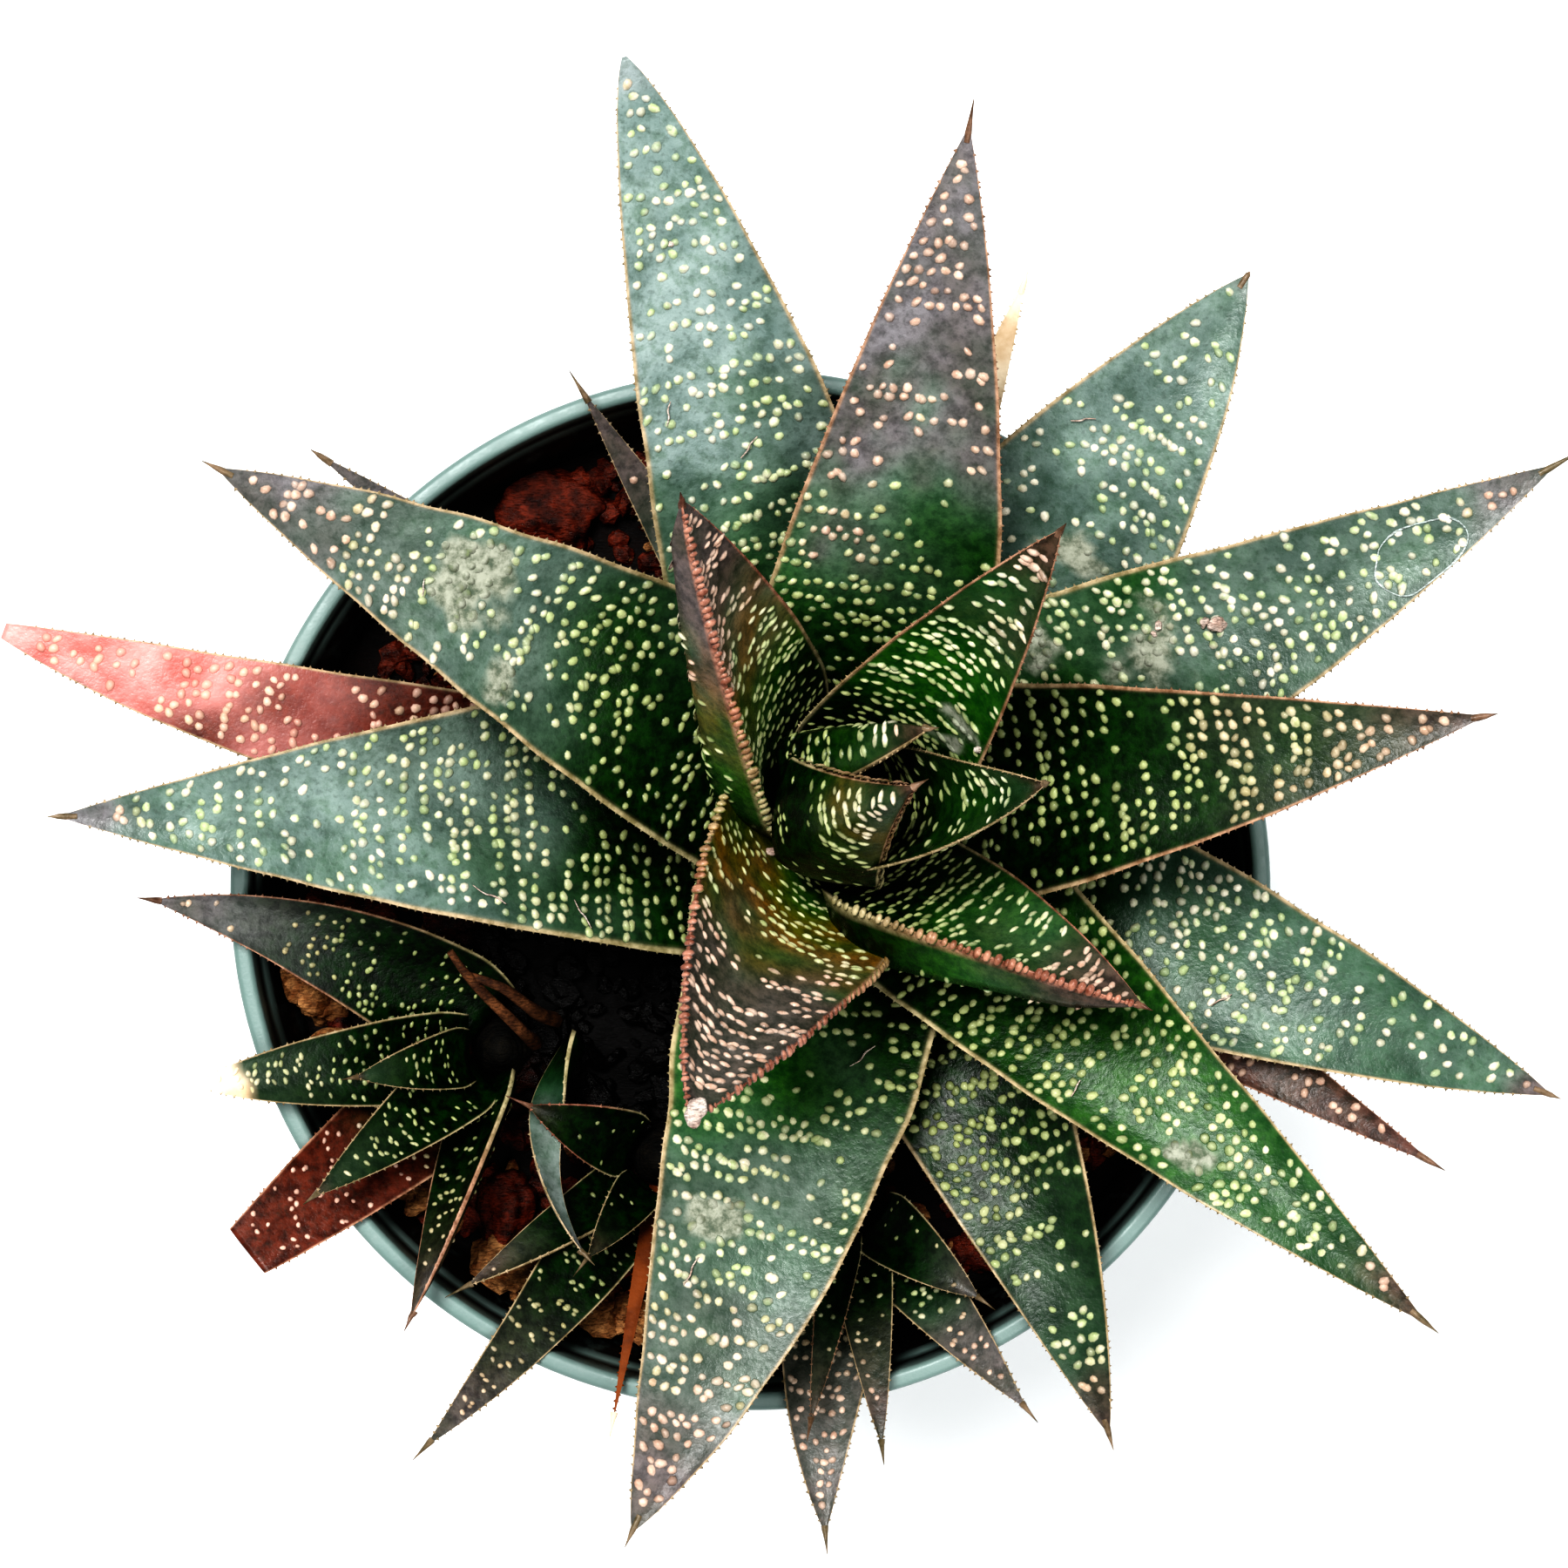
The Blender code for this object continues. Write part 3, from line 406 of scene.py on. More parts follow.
# ---- leaf shape, as in the CAD ----
def leaf_frames(leaf, along):
    """Points on the midline, with the heading, side and upper directions at each."""
    centre = PLANTS[leaf.plant]
    root = polar(centre, leaf.root[0], leaf.root_radius, SOIL_TOP + leaf.root[1])
    tip = polar(centre, leaf.tip[0], leaf.tip[1], POT_HEIGHT + leaf.tip[2])
    step = tip - root
    flat = step[:2] / np.hypot(step[0], step[1])
    middle = root + step * 0.5 + np.array([-flat[1] * leaf.bow, flat[0] * leaf.bow, leaf.arch])
    t = along[:, None]
    points = (1 - t) ** 2 * root + 2 * t * (1 - t) * middle + t * t * tip
    heading = unit((1 - t) * (middle - root) + t * (tip - middle))
    start = math.radians(leaf.facing)
    turn = 0.0
    if leaf.turns:
        end = math.atan2(tip[1] - middle[1], tip[0] - middle[0])
        turn = (end - start + math.pi) % (2 * math.pi) - math.pi
    facing = start + turn * along
    guess = np.stack([np.sin(facing), -np.cos(facing), 0 * facing], axis=1)
    side = unit(guess - (guess * heading).sum(axis=1)[:, None] * heading)
    upper = np.cross(side, heading)
    roll = math.radians(leaf.roll)
    rolled_side = side * math.cos(roll) + upper * math.sin(roll)
    rolled_upper = upper * math.cos(roll) - side * math.sin(roll)
    return points, heading, rolled_side, rolled_upper


def leaf_length(leaf):
    points = leaf_frames(leaf, np.linspace(0, 1, 24))[0]
    return float(np.linalg.norm(np.diff(points, axis=0), axis=1).sum())


def leaf_half_widths(leaf, along):
    past = np.clip((along * leaf.cut - 0.12) / 0.88, 0, 1)
    swell = 0.86 + 0.14 * np.sin(np.clip(along / 0.12, 0, 1) * math.pi / 2)
    taper = np.power(np.clip(1 - past**leaf.taper, 0, 1), leaf.blunt)
    return leaf.width / 2 * swell * taper


def leaf_skin(leaf, along, across, lower):
    """Points on the upper face, or on the lower where lower is true, at shares along and across."""
    seed = leaf.number * 11
    points, heading, side, upper = leaf_frames(leaf, along)
    place = np.stack([along * leaf_length(leaf), across * 4 + seed, 0 * along], axis=1)
    half = leaf_half_widths(leaf, along)
    half = half * (1 + 0.012 * wobble(place * [1, 0.4, 1], 5.0, seed))
    depth = leaf.thick * (0.25 + 0.75 * np.power(np.clip(1 - along, 0, 1), 0.8))
    depth = np.minimum(depth, half * 1.1)
    edge = np.minimum(0.16 * depth + 0.12, 0.45)
    rise = leaf.channel * half
    relief = 0.22 * wobble(place * [1, 2.0, 1], 7.0, seed + 1) * np.clip(half / 6, 0, 1)
    relief = relief * (1 - across**4)
    top = rise * across * across + relief
    keel = leaf.keel
    q = np.where(across > keel, (across - keel) / (1 - keel), (across - keel) / (1 + keel))
    q = np.clip(np.abs(q), 0, 1)
    bottom = (rise - edge) * q * q - depth * np.power(1 - q**1.25, 0.8) + relief * 0.5
    up = np.where(lower, bottom, top)
    return points + side * (across * half)[:, None] + upper * up[:, None]


def leaf_normals(leaf, along, across, lower):
    """Outward unit normals, with the unit directions towards the tip and across."""
    step = 0.004
    reach = 0.02
    least = 1e-9
    ahead = leaf_skin(leaf, np.clip(along + step, 0, 1), across, lower)
    behind = leaf_skin(leaf, np.clip(along - step, 0, 1), across, lower)
    right = leaf_skin(leaf, along, np.clip(across + reach, -1, 1), lower)
    left = leaf_skin(leaf, along, np.clip(across - reach, -1, 1), lower)
    towards = unit(ahead - behind, least)
    sideways = unit(right - left, least)
    normal = unit(np.cross(sideways, towards), least)
    normal = np.where(np.asarray(lower)[:, None], -normal, normal)
    return normal, towards, sideways


# ---- where each colour lies on a leaf ----
def leaf_zones(leaf, along, across, lower, points):
    """Share of each colour at each point, from 0 to 1."""
    seed = leaf.number * 11
    rough = wobble(points, 6.0, seed + 2)
    fine = wobble(points, 2.2, seed + 3)
    young = 1 - smoothstep(leaf.young * 0.35, leaf.young * 1.25 + 0.02, along + 0.06 * rough)
    # Painted shade: deep is near-black shade painted over the leaf's base, and lean pushes it further up
    # one margin than the other.
    reach = leaf.deep * (1 + leaf.lean * across)
    deep = 1 - smoothstep(reach * 0.3, reach * 1.3 + 0.02, along + 0.05 * rough)
    # Partly the blue-grey wax bloom, partly a painted sheen of reflected sky, growing towards the tip.
    frost = leaf.frost * smoothstep(0.12, 0.62, along + 0.12 * rough)
    brown = leaf.brown * smoothstep(leaf.turn[0], leaf.turn[1], along + 0.14 * rough + 0.05 * fine)
    tip = smoothstep(1 - leaf.tip_brown * 1.6, 1 - leaf.tip_brown * 0.35, along + 0.02 * fine)
    if leaf.tip_brown < 0.05:
        tip = tip * 0.4
    rim = smoothstep(0.9, 1.0, np.abs(across)) * smoothstep(0.25, 0.8, along) * 0.4
    brown = np.clip(np.maximum(brown, tip) + rim, 0, 1)
    gold = leaf.gold * np.exp(-(((along - leaf.gold_at + 0.06 * rough) / 0.15) ** 2))
    gold = gold * np.clip(0.8 + 0.4 * fine, 0, 1)
    scar = np.zeros(len(along))
    length = leaf_length(leaf)
    half = leaf_half_widths(leaf, along)
    for place, sideways, size in leaf.scars:
        away = np.hypot((along - place) * length, across * half - sideways * leaf.width / 2)
        scar = np.maximum(scar, 1 - smoothstep(size * 0.7, size * 0.95, away + 1.5 * fine + 1.2 * rough))
    dead = np.zeros(len(along))
    if leaf.dead > 0.99:
        dead = np.ones(len(along))
        gold = np.full(len(along), leaf.gold)
    elif leaf.dead > 0:
        dead = smoothstep(1 - leaf.dead, 1 - leaf.dead * 0.6, along + 0.03 * fine)
    return {
        "young": young,
        "deep": deep,
        "frost": frost,
        "brown": brown,
        "gold": gold,
        "scar": np.where(lower, 0.0, scar),
        "dead": dead,
        "red": leaf.red * np.clip(0.9 + 0.2 * rough, 0, 1),
        "pink": leaf.pink_edge * smoothstep(0.1, 0.5, along),
        "along": along,
    }


def piece_zones(at, size, dot, edge):
    """The zones at each small piece's centre, given to all its size points."""
    zones = {key: np.repeat(at[key], size) for key in ZONE_KEYS}
    zones["dot"] = dot
    zones["edge"] = edge
    return zones


def blade_part(leaf):
    """The leaf's blade: rings along it, each a closed outline with finer steps at the margins."""
    rings = int(np.clip(leaf_length(leaf) * 1.3, 40, 110))
    shares = np.linspace(0, 1, rings) ** 0.92
    inner = np.sin(np.linspace(-1, 1, 27) * math.pi / 2) * 0.955
    upper_steps = np.concatenate([[-1.0, -0.985, -0.97], inner, [0.97, 0.985, 1.0]])
    below = np.sin(np.linspace(1, -1, 21) * math.pi / 2) * 0.96
    lower_steps = np.concatenate([[1.0, 0.985], below, [-0.985, -1.0]])
    size = len(upper_steps) + len(lower_steps)
    along = np.repeat(np.minimum(shares, 0.997), size)
    across = np.tile(np.concatenate([upper_steps, lower_steps]), rings)
    lower = np.tile(np.arange(size) >= len(upper_steps), rings)
    points = leaf_skin(leaf, along, across, lower)
    zones = leaf_zones(leaf, along, across, lower, points)
    out = np.abs(across)
    zones["edge"] = np.where(lower, smoothstep(0.985, 1.0, out), smoothstep(0.94, 0.98, out))
    zones["dot"] = np.zeros(len(points))
    faces = loop_faces(rings, size)
    faces.append(tuple(range(size)))
    faces.append(tuple(range(rings * size - 1, (rings - 1) * size - 1, -1)))
    return points, faces, zones


def scatter_dots(leaf, lower, rng):
    """Places for the tubercles: short, broken rows across the leaf, thinning in patches."""
    length = leaf_length(leaf)
    spots = []
    distance = 1.6
    while distance < length * 0.965:
        half = float(leaf_half_widths(leaf, np.array([distance / length]))[0])
        sideways = -half + rng.uniform(0.2, 1.2)
        drift = rng.normal(0, 0.3)
        while sideways < half:
            for _ in range(rng.integers(1, 6)):
                spots.append((distance + drift + rng.normal(0, 0.16), sideways))
                sideways += rng.uniform(0.95, 1.3) * leaf.spacing
            sideways += rng.uniform(0.1, 0.9)
            drift = rng.normal(0, 0.4)
        distance += rng.uniform(1.15, 1.6) * leaf.spacing
    if not spots:
        return np.zeros((0, 2))
    spots = np.array(spots)
    seed = leaf.number * 11 + (5 if lower else 4)
    place = np.stack([spots[:, 0], spots[:, 1] * 0.8, np.full(len(spots), float(seed))], axis=1)
    patchy = 0.74 + 0.5 * wobble(place * [1, 0.7, 1], 3.2, seed) + 0.3 * wobble(place, 10.0, seed + 1)
    below = 0.9 if leaf.streak > 0.5 else 0.45
    chance = leaf.dots * np.clip(patchy, 0.15, 1.0) * (below if lower else 1.0)
    spots = spots[rng.uniform(0, 1, len(spots)) < chance]
    share = spots[:, 0] / length
    half = leaf_half_widths(leaf, share)
    fits = (np.abs(spots[:, 1]) < half - 0.65) & (share > 0.03) & (share < 0.975)
    return np.stack([share[fits], spots[fits, 1] / half[fits]], axis=1)


def dot_parts(leaf, rng):
    """Low domes for the tubercles, drawn out sideways near the leaf's base."""
    size = 1 + DOT_SIDES * len(DOT_RINGS)
    paleness = np.concatenate([[1.0]] + [np.full(DOT_SIDES, ring[2]) for ring in DOT_RINGS])
    parts = []
    for lower in (False, True):
        spots = scatter_dots(leaf, lower, rng)
        count = len(spots)
        if not count:
            continue
        along = spots[:, 0]
        across = spots[:, 1]
        flags = np.full(count, lower)
        centre = leaf_skin(leaf, along, across, flags)
        normal, towards, sideways = leaf_normals(leaf, along, across, flags)
        at = leaf_zones(leaf, along, across, flags, centre)
        grown = smoothstep(0.0, 0.4, along)
        radius = rng.uniform(*DOT_RADIUS, count) * (0.72 + 0.28 * grown)
        radius = radius * (1 - 0.28 * leaf.streak) * leaf.dot_size
        drawn = leaf.streak + (1 - leaf.streak) * 0.45 * (1 - smoothstep(0.08, 0.4, along))
        wide = rng.uniform(0.95, 1.15, count) * (1 + 1.15 * drawn * rng.uniform(0.3, 1.0, count))
        deep = radius * (1 - 0.2 * drawn)
        high = radius * rng.uniform(0.45, 0.72, count)
        lean = rng.normal(0, 0.12, count)
        first = rng.uniform(0, 6.28, count)
        second = rng.uniform(0, 6.28, count)
        domes = np.zeros((count, size, 3))
        domes[:, 0] = centre + normal * high[:, None]
        for j, (r, up, _) in enumerate(DOT_RINGS):
            for k in range(DOT_SIDES):
                angle = 2 * math.pi * k / DOT_SIDES
                uneven = 1 + 0.09 * np.sin(2 * angle + first) + 0.06 * np.sin(3 * angle + second)
                x = r * radius * wide * math.cos(angle) * uneven
                y = r * deep * math.sin(angle) * uneven + x * lean
                offset = sideways * x[:, None] + towards * y[:, None] + normal * (up * high)[:, None]
                domes[:, 1 + j * DOT_SIDES + k] = centre + offset
        tone = rng.uniform(0.55, 1.0, count)
        dot = (tone[:, None] * paleness[None, :]).reshape(-1)
        faces = dome_faces(count, DOT_SIDES, len(DOT_RINGS))
        parts.append((domes.reshape(-1, 3), faces, piece_zones(at, size, dot, np.zeros(len(dot)))))
    return parts


def margin_places(leaf, sign, low, high, count, stray, rng):
    """Places on the margin at side sign, with their zones and the leaf's directions there."""
    shares = np.linspace(low, high, count) + rng.normal(0, stray / leaf_length(leaf), count)
    across = np.full(count, float(sign))
    flags = np.zeros(count, bool)
    centre = leaf_skin(leaf, shares, across, flags)
    zones = leaf_zones(leaf, shares, across, flags, centre)
    _, heading, side, upper = leaf_frames(leaf, shares)
    return shares, centre, zones, heading, side * sign, upper


def tooth_parts(leaf, rng):
    """Small horny teeth along both margins."""
    count = int(leaf_length(leaf) * 0.93 / TOOTH_STEP)
    parts = []
    for sign in (-1.0, 1.0):
        _, centre, at, heading, side, upper = margin_places(leaf, sign, 0.05, 0.96, count, 0.12, rng)
        size = rng.uniform(*TOOTH_SIZE, count)[:, None]
        middle = centre - upper * 0.12
        teeth = np.zeros((count, TOOTH_SIDES + 1, 3))
        for k in range(TOOTH_SIDES):
            angle = 2 * math.pi * k / TOOTH_SIDES
            teeth[:, k] = (middle + heading * math.cos(angle) * size * 0.95
                           + upper * math.sin(angle) * size * 0.6 - side * 0.12)
        teeth[:, TOOTH_SIDES] = middle + side * size * 0.95 + heading * size * 0.25
        faces = []
        for i in range(count):
            base = i * (TOOTH_SIDES + 1)
            for k in range(TOOTH_SIDES):
                a = base + k
                b = base + (k + 1) % TOOTH_SIDES
                faces.append((a, b, base + TOOTH_SIDES) if sign > 0 else (b, a, base + TOOTH_SIDES))
        points = teeth.reshape(-1, 3)
        zones = piece_zones(at, TOOTH_SIDES + 1, np.zeros(len(points)), np.ones(len(points)))
        parts.append((points, faces, zones))
    return parts


def bead_parts(leaf, rng):
    """Rounded beads along the raised margins of the youngest leaves."""
    count = int(leaf_length(leaf) * 0.9 / BEAD_STEP)
    size = 1 + BEAD_SIDES * len(BEAD_RINGS)
    top = np.concatenate([[1.0]] + [np.full(BEAD_SIDES, ring[0] < 0.9) * 1.0 for ring in BEAD_RINGS])
    parts = []
    for sign in leaf.beads:
        shares, centre, at, heading, side, upper = margin_places(leaf, sign, 0.07, 0.97, count, 0.16, rng)
        out = side * 0.75 + upper * 0.65
        up = upper * 0.75 - side * 0.65
        radius = rng.uniform(*BEAD_RADIUS, count) * np.interp(shares, [0, 0.15, 0.85, 1], [0.7, 1, 1, 0.6])
        beads = np.zeros((count, size, 3))
        beads[:, 0] = centre + out * (radius * 0.8)[:, None]
        for j, (r, rise) in enumerate(BEAD_RINGS):
            for k in range(BEAD_SIDES):
                angle = 2 * math.pi * k / BEAD_SIDES
                spread = heading * math.cos(angle) * 1.1 + up * math.sin(angle) * 1.6
                beads[:, 1 + j * BEAD_SIDES + k] = centre + (spread * r + out * rise) * radius[:, None]
        zones = piece_zones(at, size, np.zeros(count * size), np.tile(top, count))
        parts.append((beads.reshape(-1, 3), dome_faces(count, BEAD_SIDES, len(BEAD_RINGS)), zones))
    return parts


def spine_part(leaf):
    """The hair-fine point at the leaf's tip."""
    points, heading, side, upper = leaf_frames(leaf, np.array([0.975, 0.99, 1.0]))
    end = points[2]
    path = [points[0] - upper[0] * 0.25, points[1] - upper[1] * 0.15, end]
    path.append(end + heading[2] * leaf.spine * 0.45 + upper[2] * leaf.spine * 0.05)
    path.append(end + heading[2] * leaf.spine + upper[2] * leaf.spine * 0.16)
    verts = []
    for i, (place, radius) in enumerate(zip(path, SPINE_RADII)):
        j = min(i, 2)
        for k in range(SPINE_SIDES):
            angle = 2 * math.pi * k / SPINE_SIDES
            verts.append(place + (side[j] * math.cos(angle) + upper[j] * math.sin(angle)) * radius)
    count = len(verts)
    faces = loop_faces(len(path), SPINE_SIDES)
    faces.append(tuple(range(count - SPINE_SIDES, count)))
    ends = {"brown": 1.0, "along": 1.0, "pink": leaf.pink_edge, "dead": float(leaf.dead > 0.99)}
    zones = {key: np.full(count, ends.get(key, 0.0)) for key in ZONE_KEYS}
    zones["dot"] = np.zeros(count)
    zones["edge"] = np.full(count, 0.35)
    return np.array(verts), faces, zones


def make_leaf(leaf, material):
    rng = np.random.default_rng(100 + leaf.number)
    parts = [blade_part(leaf)]
    if leaf.dots > 0:
        parts += dot_parts(leaf, rng)
    parts += tooth_parts(leaf, rng) + bead_parts(leaf, rng)
    if leaf.spine > 0:
        parts.append(spine_part(leaf))
    faces = []
    count = 0
    for points, part_faces, _ in parts:
        faces += [tuple(v + count for v in face) for face in part_faces]
        count += len(points)
    zones = {key: np.concatenate([part[2][key] for part in parts]) for key in parts[0][2]}
    make_object("skin_" + leaf.name, np.concatenate([part[0] for part in parts]), faces, material,
                leaf.name, True, zones)


# ---- materials ----
class Nodes:
    """Short names for adding and joining shader nodes."""

    def __init__(self, name):
        self.material = bpy.data.materials.new(name)
        self.material.use_nodes = True
        self.tree = self.material.node_tree
        self.shader = self.tree.nodes["Principled BSDF"]

    def add(self, kind, **settings):
        node = self.tree.nodes.new(kind)
        for key, value in settings.items():
            setattr(node, key, value)
        return node

    def put(self, target, value):
        if isinstance(value, bpy.types.NodeSocket):
            self.tree.links.new(value, target)
        else:
            target.default_value = value

    def finish(self, base_colour, roughness, specular=None):
        self.put(self.shader.inputs["Base Color"], base_colour)
        self.put(self.shader.inputs["Roughness"], roughness)
        if specular:
            self.put(self.shader.inputs["Specular IOR Level"], specular)
        return self.material

    def attribute(self, name):
        return self.add("ShaderNodeAttribute", attribute_name=name).outputs["Fac"]

    def math(self, kind, a, b, clamp=False):
        node = self.add("ShaderNodeMath", operation=kind, use_clamp=clamp)
        self.put(node.inputs[0], a)
        self.put(node.inputs[1], b)
        return node.outputs[0]

    def plus(self, a, b, clamp=False):
        return self.math("ADD", a, b, clamp)

    def times(self, a, b):
        return self.math("MULTIPLY", a, b)

    def mix(self, share, a, b, blend="MIX"):
        node = self.add("ShaderNodeMix", data_type="RGBA", blend_type=blend)
        self.put(node.inputs[0], share)
        self.put(node.inputs[6], colour(a) if isinstance(a, tuple) else a)
        self.put(node.inputs[7], colour(b) if isinstance(b, tuple) else b)
        return node.outputs[2]

    def steps(self, value, low, high, out_low=0.0, out_high=1.0):
        """A smooth step from out_low to out_high as value goes from low to high."""
        node = self.add("ShaderNodeMapRange", interpolation_type="SMOOTHSTEP")
        for key, setting in (("Value", value), ("From Min", low), ("From Max", high),
                             ("To Min", out_low), ("To Max", out_high)):
            self.put(node.inputs[key], setting)
        return node.outputs["Result"]

    def shades(self, value, low, high, a, b):
        """Colour a where value is under low, colour b where it is over high."""
        return self.mix(self.steps(value, low, high), a, b)

    def noise(self, size, detail=4.0, roughness=0.55, stretch=None):
        """Noise with features about size millimetres across."""
        where = self.add("ShaderNodeTexCoord").outputs["Object"]
        if stretch:
            mapping = self.add("ShaderNodeMapping")
            self.put(mapping.inputs["Scale"], stretch)
            self.put(mapping.inputs["Vector"], where)
            where = mapping.outputs["Vector"]
        node = self.add("ShaderNodeTexNoise")
        for key, setting in (("Scale", 1 / (size * MM)), ("Detail", detail),
                             ("Roughness", roughness), ("Vector", where)):
            self.put(node.inputs[key], setting)
        return node.outputs["Fac"]

    def bump(self, height, strength, distance):
        node = self.add("ShaderNodeBump")
        self.put(node.inputs["Strength"], strength)
        self.put(node.inputs["Distance"], distance * MM)
        self.put(node.inputs["Height"], height)
        self.put(self.shader.inputs["Normal"], node.outputs["Normal"])


def colour(value):
    """sRGB values from 0 to 255 as a linear colour."""
    linear = []
    for part in value[:3]:
        share = part / 255
        linear.append(share / 12.92 if share <= 0.04045 else ((share + 0.055) / 1.055) ** 2.4)
    return (*linear, 1.0)


def leaf_material():
    m = Nodes("gasteria_skin")
    patch = m.noise(5.0, 5.0)
    grain = m.noise(0.5, 4.0)
    fleck = m.noise(1.3, 5.0, 0.65)
    broad = m.noise(14.0, 3.0)
    pick = m.noise(2.6, 2.0)
    base = m.shades(patch, 0.35, 0.65, (18, 54, 26), (46, 84, 50))
    bright = m.shades(fleck, 0.35, 0.7, (20, 74, 10), (54, 108, 24))
    base = m.mix(m.attribute("young"), base, bright)
    tanned = m.shades(fleck, 0.35, 0.65, (50, 36, 27), (92, 72, 60))
    brown = m.times(m.attribute("brown"), m.steps(patch, 0.25, 0.6, 0.6, 1.0))
    base = m.mix(brown, base, tanned)
    amber = m.shades(fleck, 0.35, 0.65, (96, 70, 12), (142, 100, 26))
    base = m.mix(m.attribute("gold"), base, amber)
    # Blue-grey bloom with a painted sheen: the wax bloom and a reflection of the sky laid into the colour.
    bloom_and_sheen_green = m.shades(patch, 0.3, 0.7, (108, 125, 120), (142, 156, 152))
    bloom_and_sheen_grey = m.shades(patch, 0.3, 0.7, (98, 97, 99), (142, 143, 148))
    bloom_and_sheen_colour = m.mix(brown, bloom_and_sheen_green, bloom_and_sheen_grey)
    cover = m.times(m.steps(fleck, 0.3, 0.62, 0.55, 1.0), m.steps(broad, 0.35, 0.62, 0.7, 1.0))
    base = m.mix(m.times(m.attribute("frost"), cover), base, bloom_and_sheen_colour)
    rusty = m.shades(fleck, 0.3, 0.7, (58, 24, 14), (108, 54, 38))
    base = m.shades(m.attribute("red"), 0.0, 0.5, base, rusty)
    base = m.mix(m.steps(grain, 0.5, 0.75, 0.0, 0.35), base, (22, 40, 26))
    withered = m.shades(patch, 0.3, 0.7, (170, 96, 88), (208, 146, 140))
    far = m.steps(m.attribute("along"), 0.45, 0.8)
    base = m.mix(m.times(m.steps(m.attribute("red"), 0.5, 1.0), far), base, withered)
    # Painted shade: the leaf's base is darkened to near-black green where deep is high.
    shade = m.shades(fleck, 0.35, 0.7, (2, 13, 1), (11, 46, 5))
    base = m.mix(m.attribute("deep"), base, shade)

    dot_pale = m.shades(fleck, 0.3, 0.7, (180, 174, 152), (222, 216, 200))
    dot_green = m.shades(fleck, 0.3, 0.7, (158, 170, 128), (198, 204, 172))
    dot_green = m.shades(pick, 0.42, 0.58, dot_green, dot_pale)
    dot_yellow = m.shades(fleck, 0.3, 0.7, (150, 156, 106), (196, 199, 152))
    dot_green = m.mix(m.times(m.attribute("young"), 0.75), dot_green, dot_yellow)
    dot_tan = m.shades(fleck, 0.3, 0.7, (172, 142, 124), (216, 194, 178))
    dots = m.shades(m.attribute("brown"), 0.1, 0.6, dot_green, dot_tan)
    dots = m.mix(m.attribute("red"), dots, (214, 172, 156))
    # Painted shade on the tubercles near the leaf's base.
    dots = m.mix(m.times(m.attribute("deep"), 0.8), dots, (142, 150, 100))
    skin = m.shades(m.attribute("dot"), 0.1, 0.95, base, dots)

    edge_plain = m.shades(fleck, 0.3, 0.7, (136, 128, 92), (196, 184, 150))
    edge_pink = m.shades(fleck, 0.3, 0.7, (118, 70, 54), (190, 142, 122))
    edges = m.mix(m.attribute("pink"), edge_plain, edge_pink)
    skin = m.mix(m.times(m.attribute("edge"), 0.85), skin, edges)
    cork = m.shades(fleck, 0.35, 0.65, (98, 104, 88), (158, 160, 146))
    scar = m.times(m.attribute("scar"), m.steps(fleck, 0.25, 0.5, 0.4, 1.0))
    skin = m.mix(scar, skin, cork)
    straw = m.shades(patch, 0.35, 0.65, (196, 168, 134), (232, 216, 192))
    rust = m.shades(patch, 0.35, 0.65, (84, 42, 16), (136, 76, 34))
    straw = m.mix(m.attribute("gold"), straw, rust)
    skin = m.mix(m.attribute("dead"), skin, straw)

    rough = m.plus(m.steps(grain, 0.2, 0.8, 0.22, 0.4), m.times(m.attribute("dead"), 0.3))
    rough = m.plus(rough, m.times(scar, 0.35), clamp=True)
    relief = m.plus(grain, m.times(fleck, 0.9))
    m.bump(m.plus(relief, m.times(patch, 1.6)), 0.4, 0.14)
    return m.finish(skin, rough, 0.22)


def pot_material():
    m = Nodes("pot_plastic")
    cloud = m.noise(22.0, 3.0)
    dust = m.noise(2.5, 6.0, 0.7)
    base = m.shades(cloud, 0.3, 0.7, (110, 130, 125), (117, 136, 131))
    base = m.mix(m.times(m.steps(dust, 0.5, 0.75), 0.35), base, (140, 152, 148))
    # Painted shade: the inner wall below the rim is darkened to near black, broken up by the dust noise.
    painted_wall_shade = m.times(m.attribute("painted_wall_shade"), m.steps(dust, 0.3, 0.5, 0.75, 1.0))
    m.bump(m.noise(0.35, 3.0), 0.35, 0.06)
    return m.finish(m.mix(painted_wall_shade, base, (12, 8, 6)), m.steps(dust, 0.3, 0.7, 0.34, 0.52))


def granule_material(name, dark, light, gloss, painted_plant_shade=False):
    m = Nodes(name)
    patch = m.noise(2.0, 5.0, 0.6)
    streak = m.noise(0.6, 6.0, 0.65, (1.0, 3.0, 1.0))
    base = m.shades(patch, 0.3, 0.7, dark, light)
    shade = m.shades(streak, 0.3, 0.7, (90, 84, 80), (255, 255, 255))
    base = m.mix(0.8, base, shade, "MULTIPLY")
    if painted_plant_shade:
        # Painted shade: under the plant the colour goes to near black, and back to its own colour as open
        # rises.
        base = m.mix(m.attribute("open"), (5, 3, 2), base)
    m.bump(streak, 0.8, 0.25)
    return m.finish(base, m.steps(streak, 0.3, 0.7, gloss, gloss + 0.3), 0.3)


# ---- pot ----
def wall_radius(height):
    top = POT_RIM_RADIUS - RIM_STEP
    return POT_BASE_RADIUS + (top - POT_BASE_RADIUS) * height / (POT_HEIGHT - RIM_BAND_HEIGHT)


def corner(radius, height, size, start, sweep, steps=5):
    """Points of a rounded corner of the profile, from start degrees on through sweep degrees."""
    points = []
    for k in range(steps + 1):
        angle = math.radians(start + sweep * k / steps)
        points.append((radius + size * math.cos(angle), height + size * math.sin(angle)))
    return points


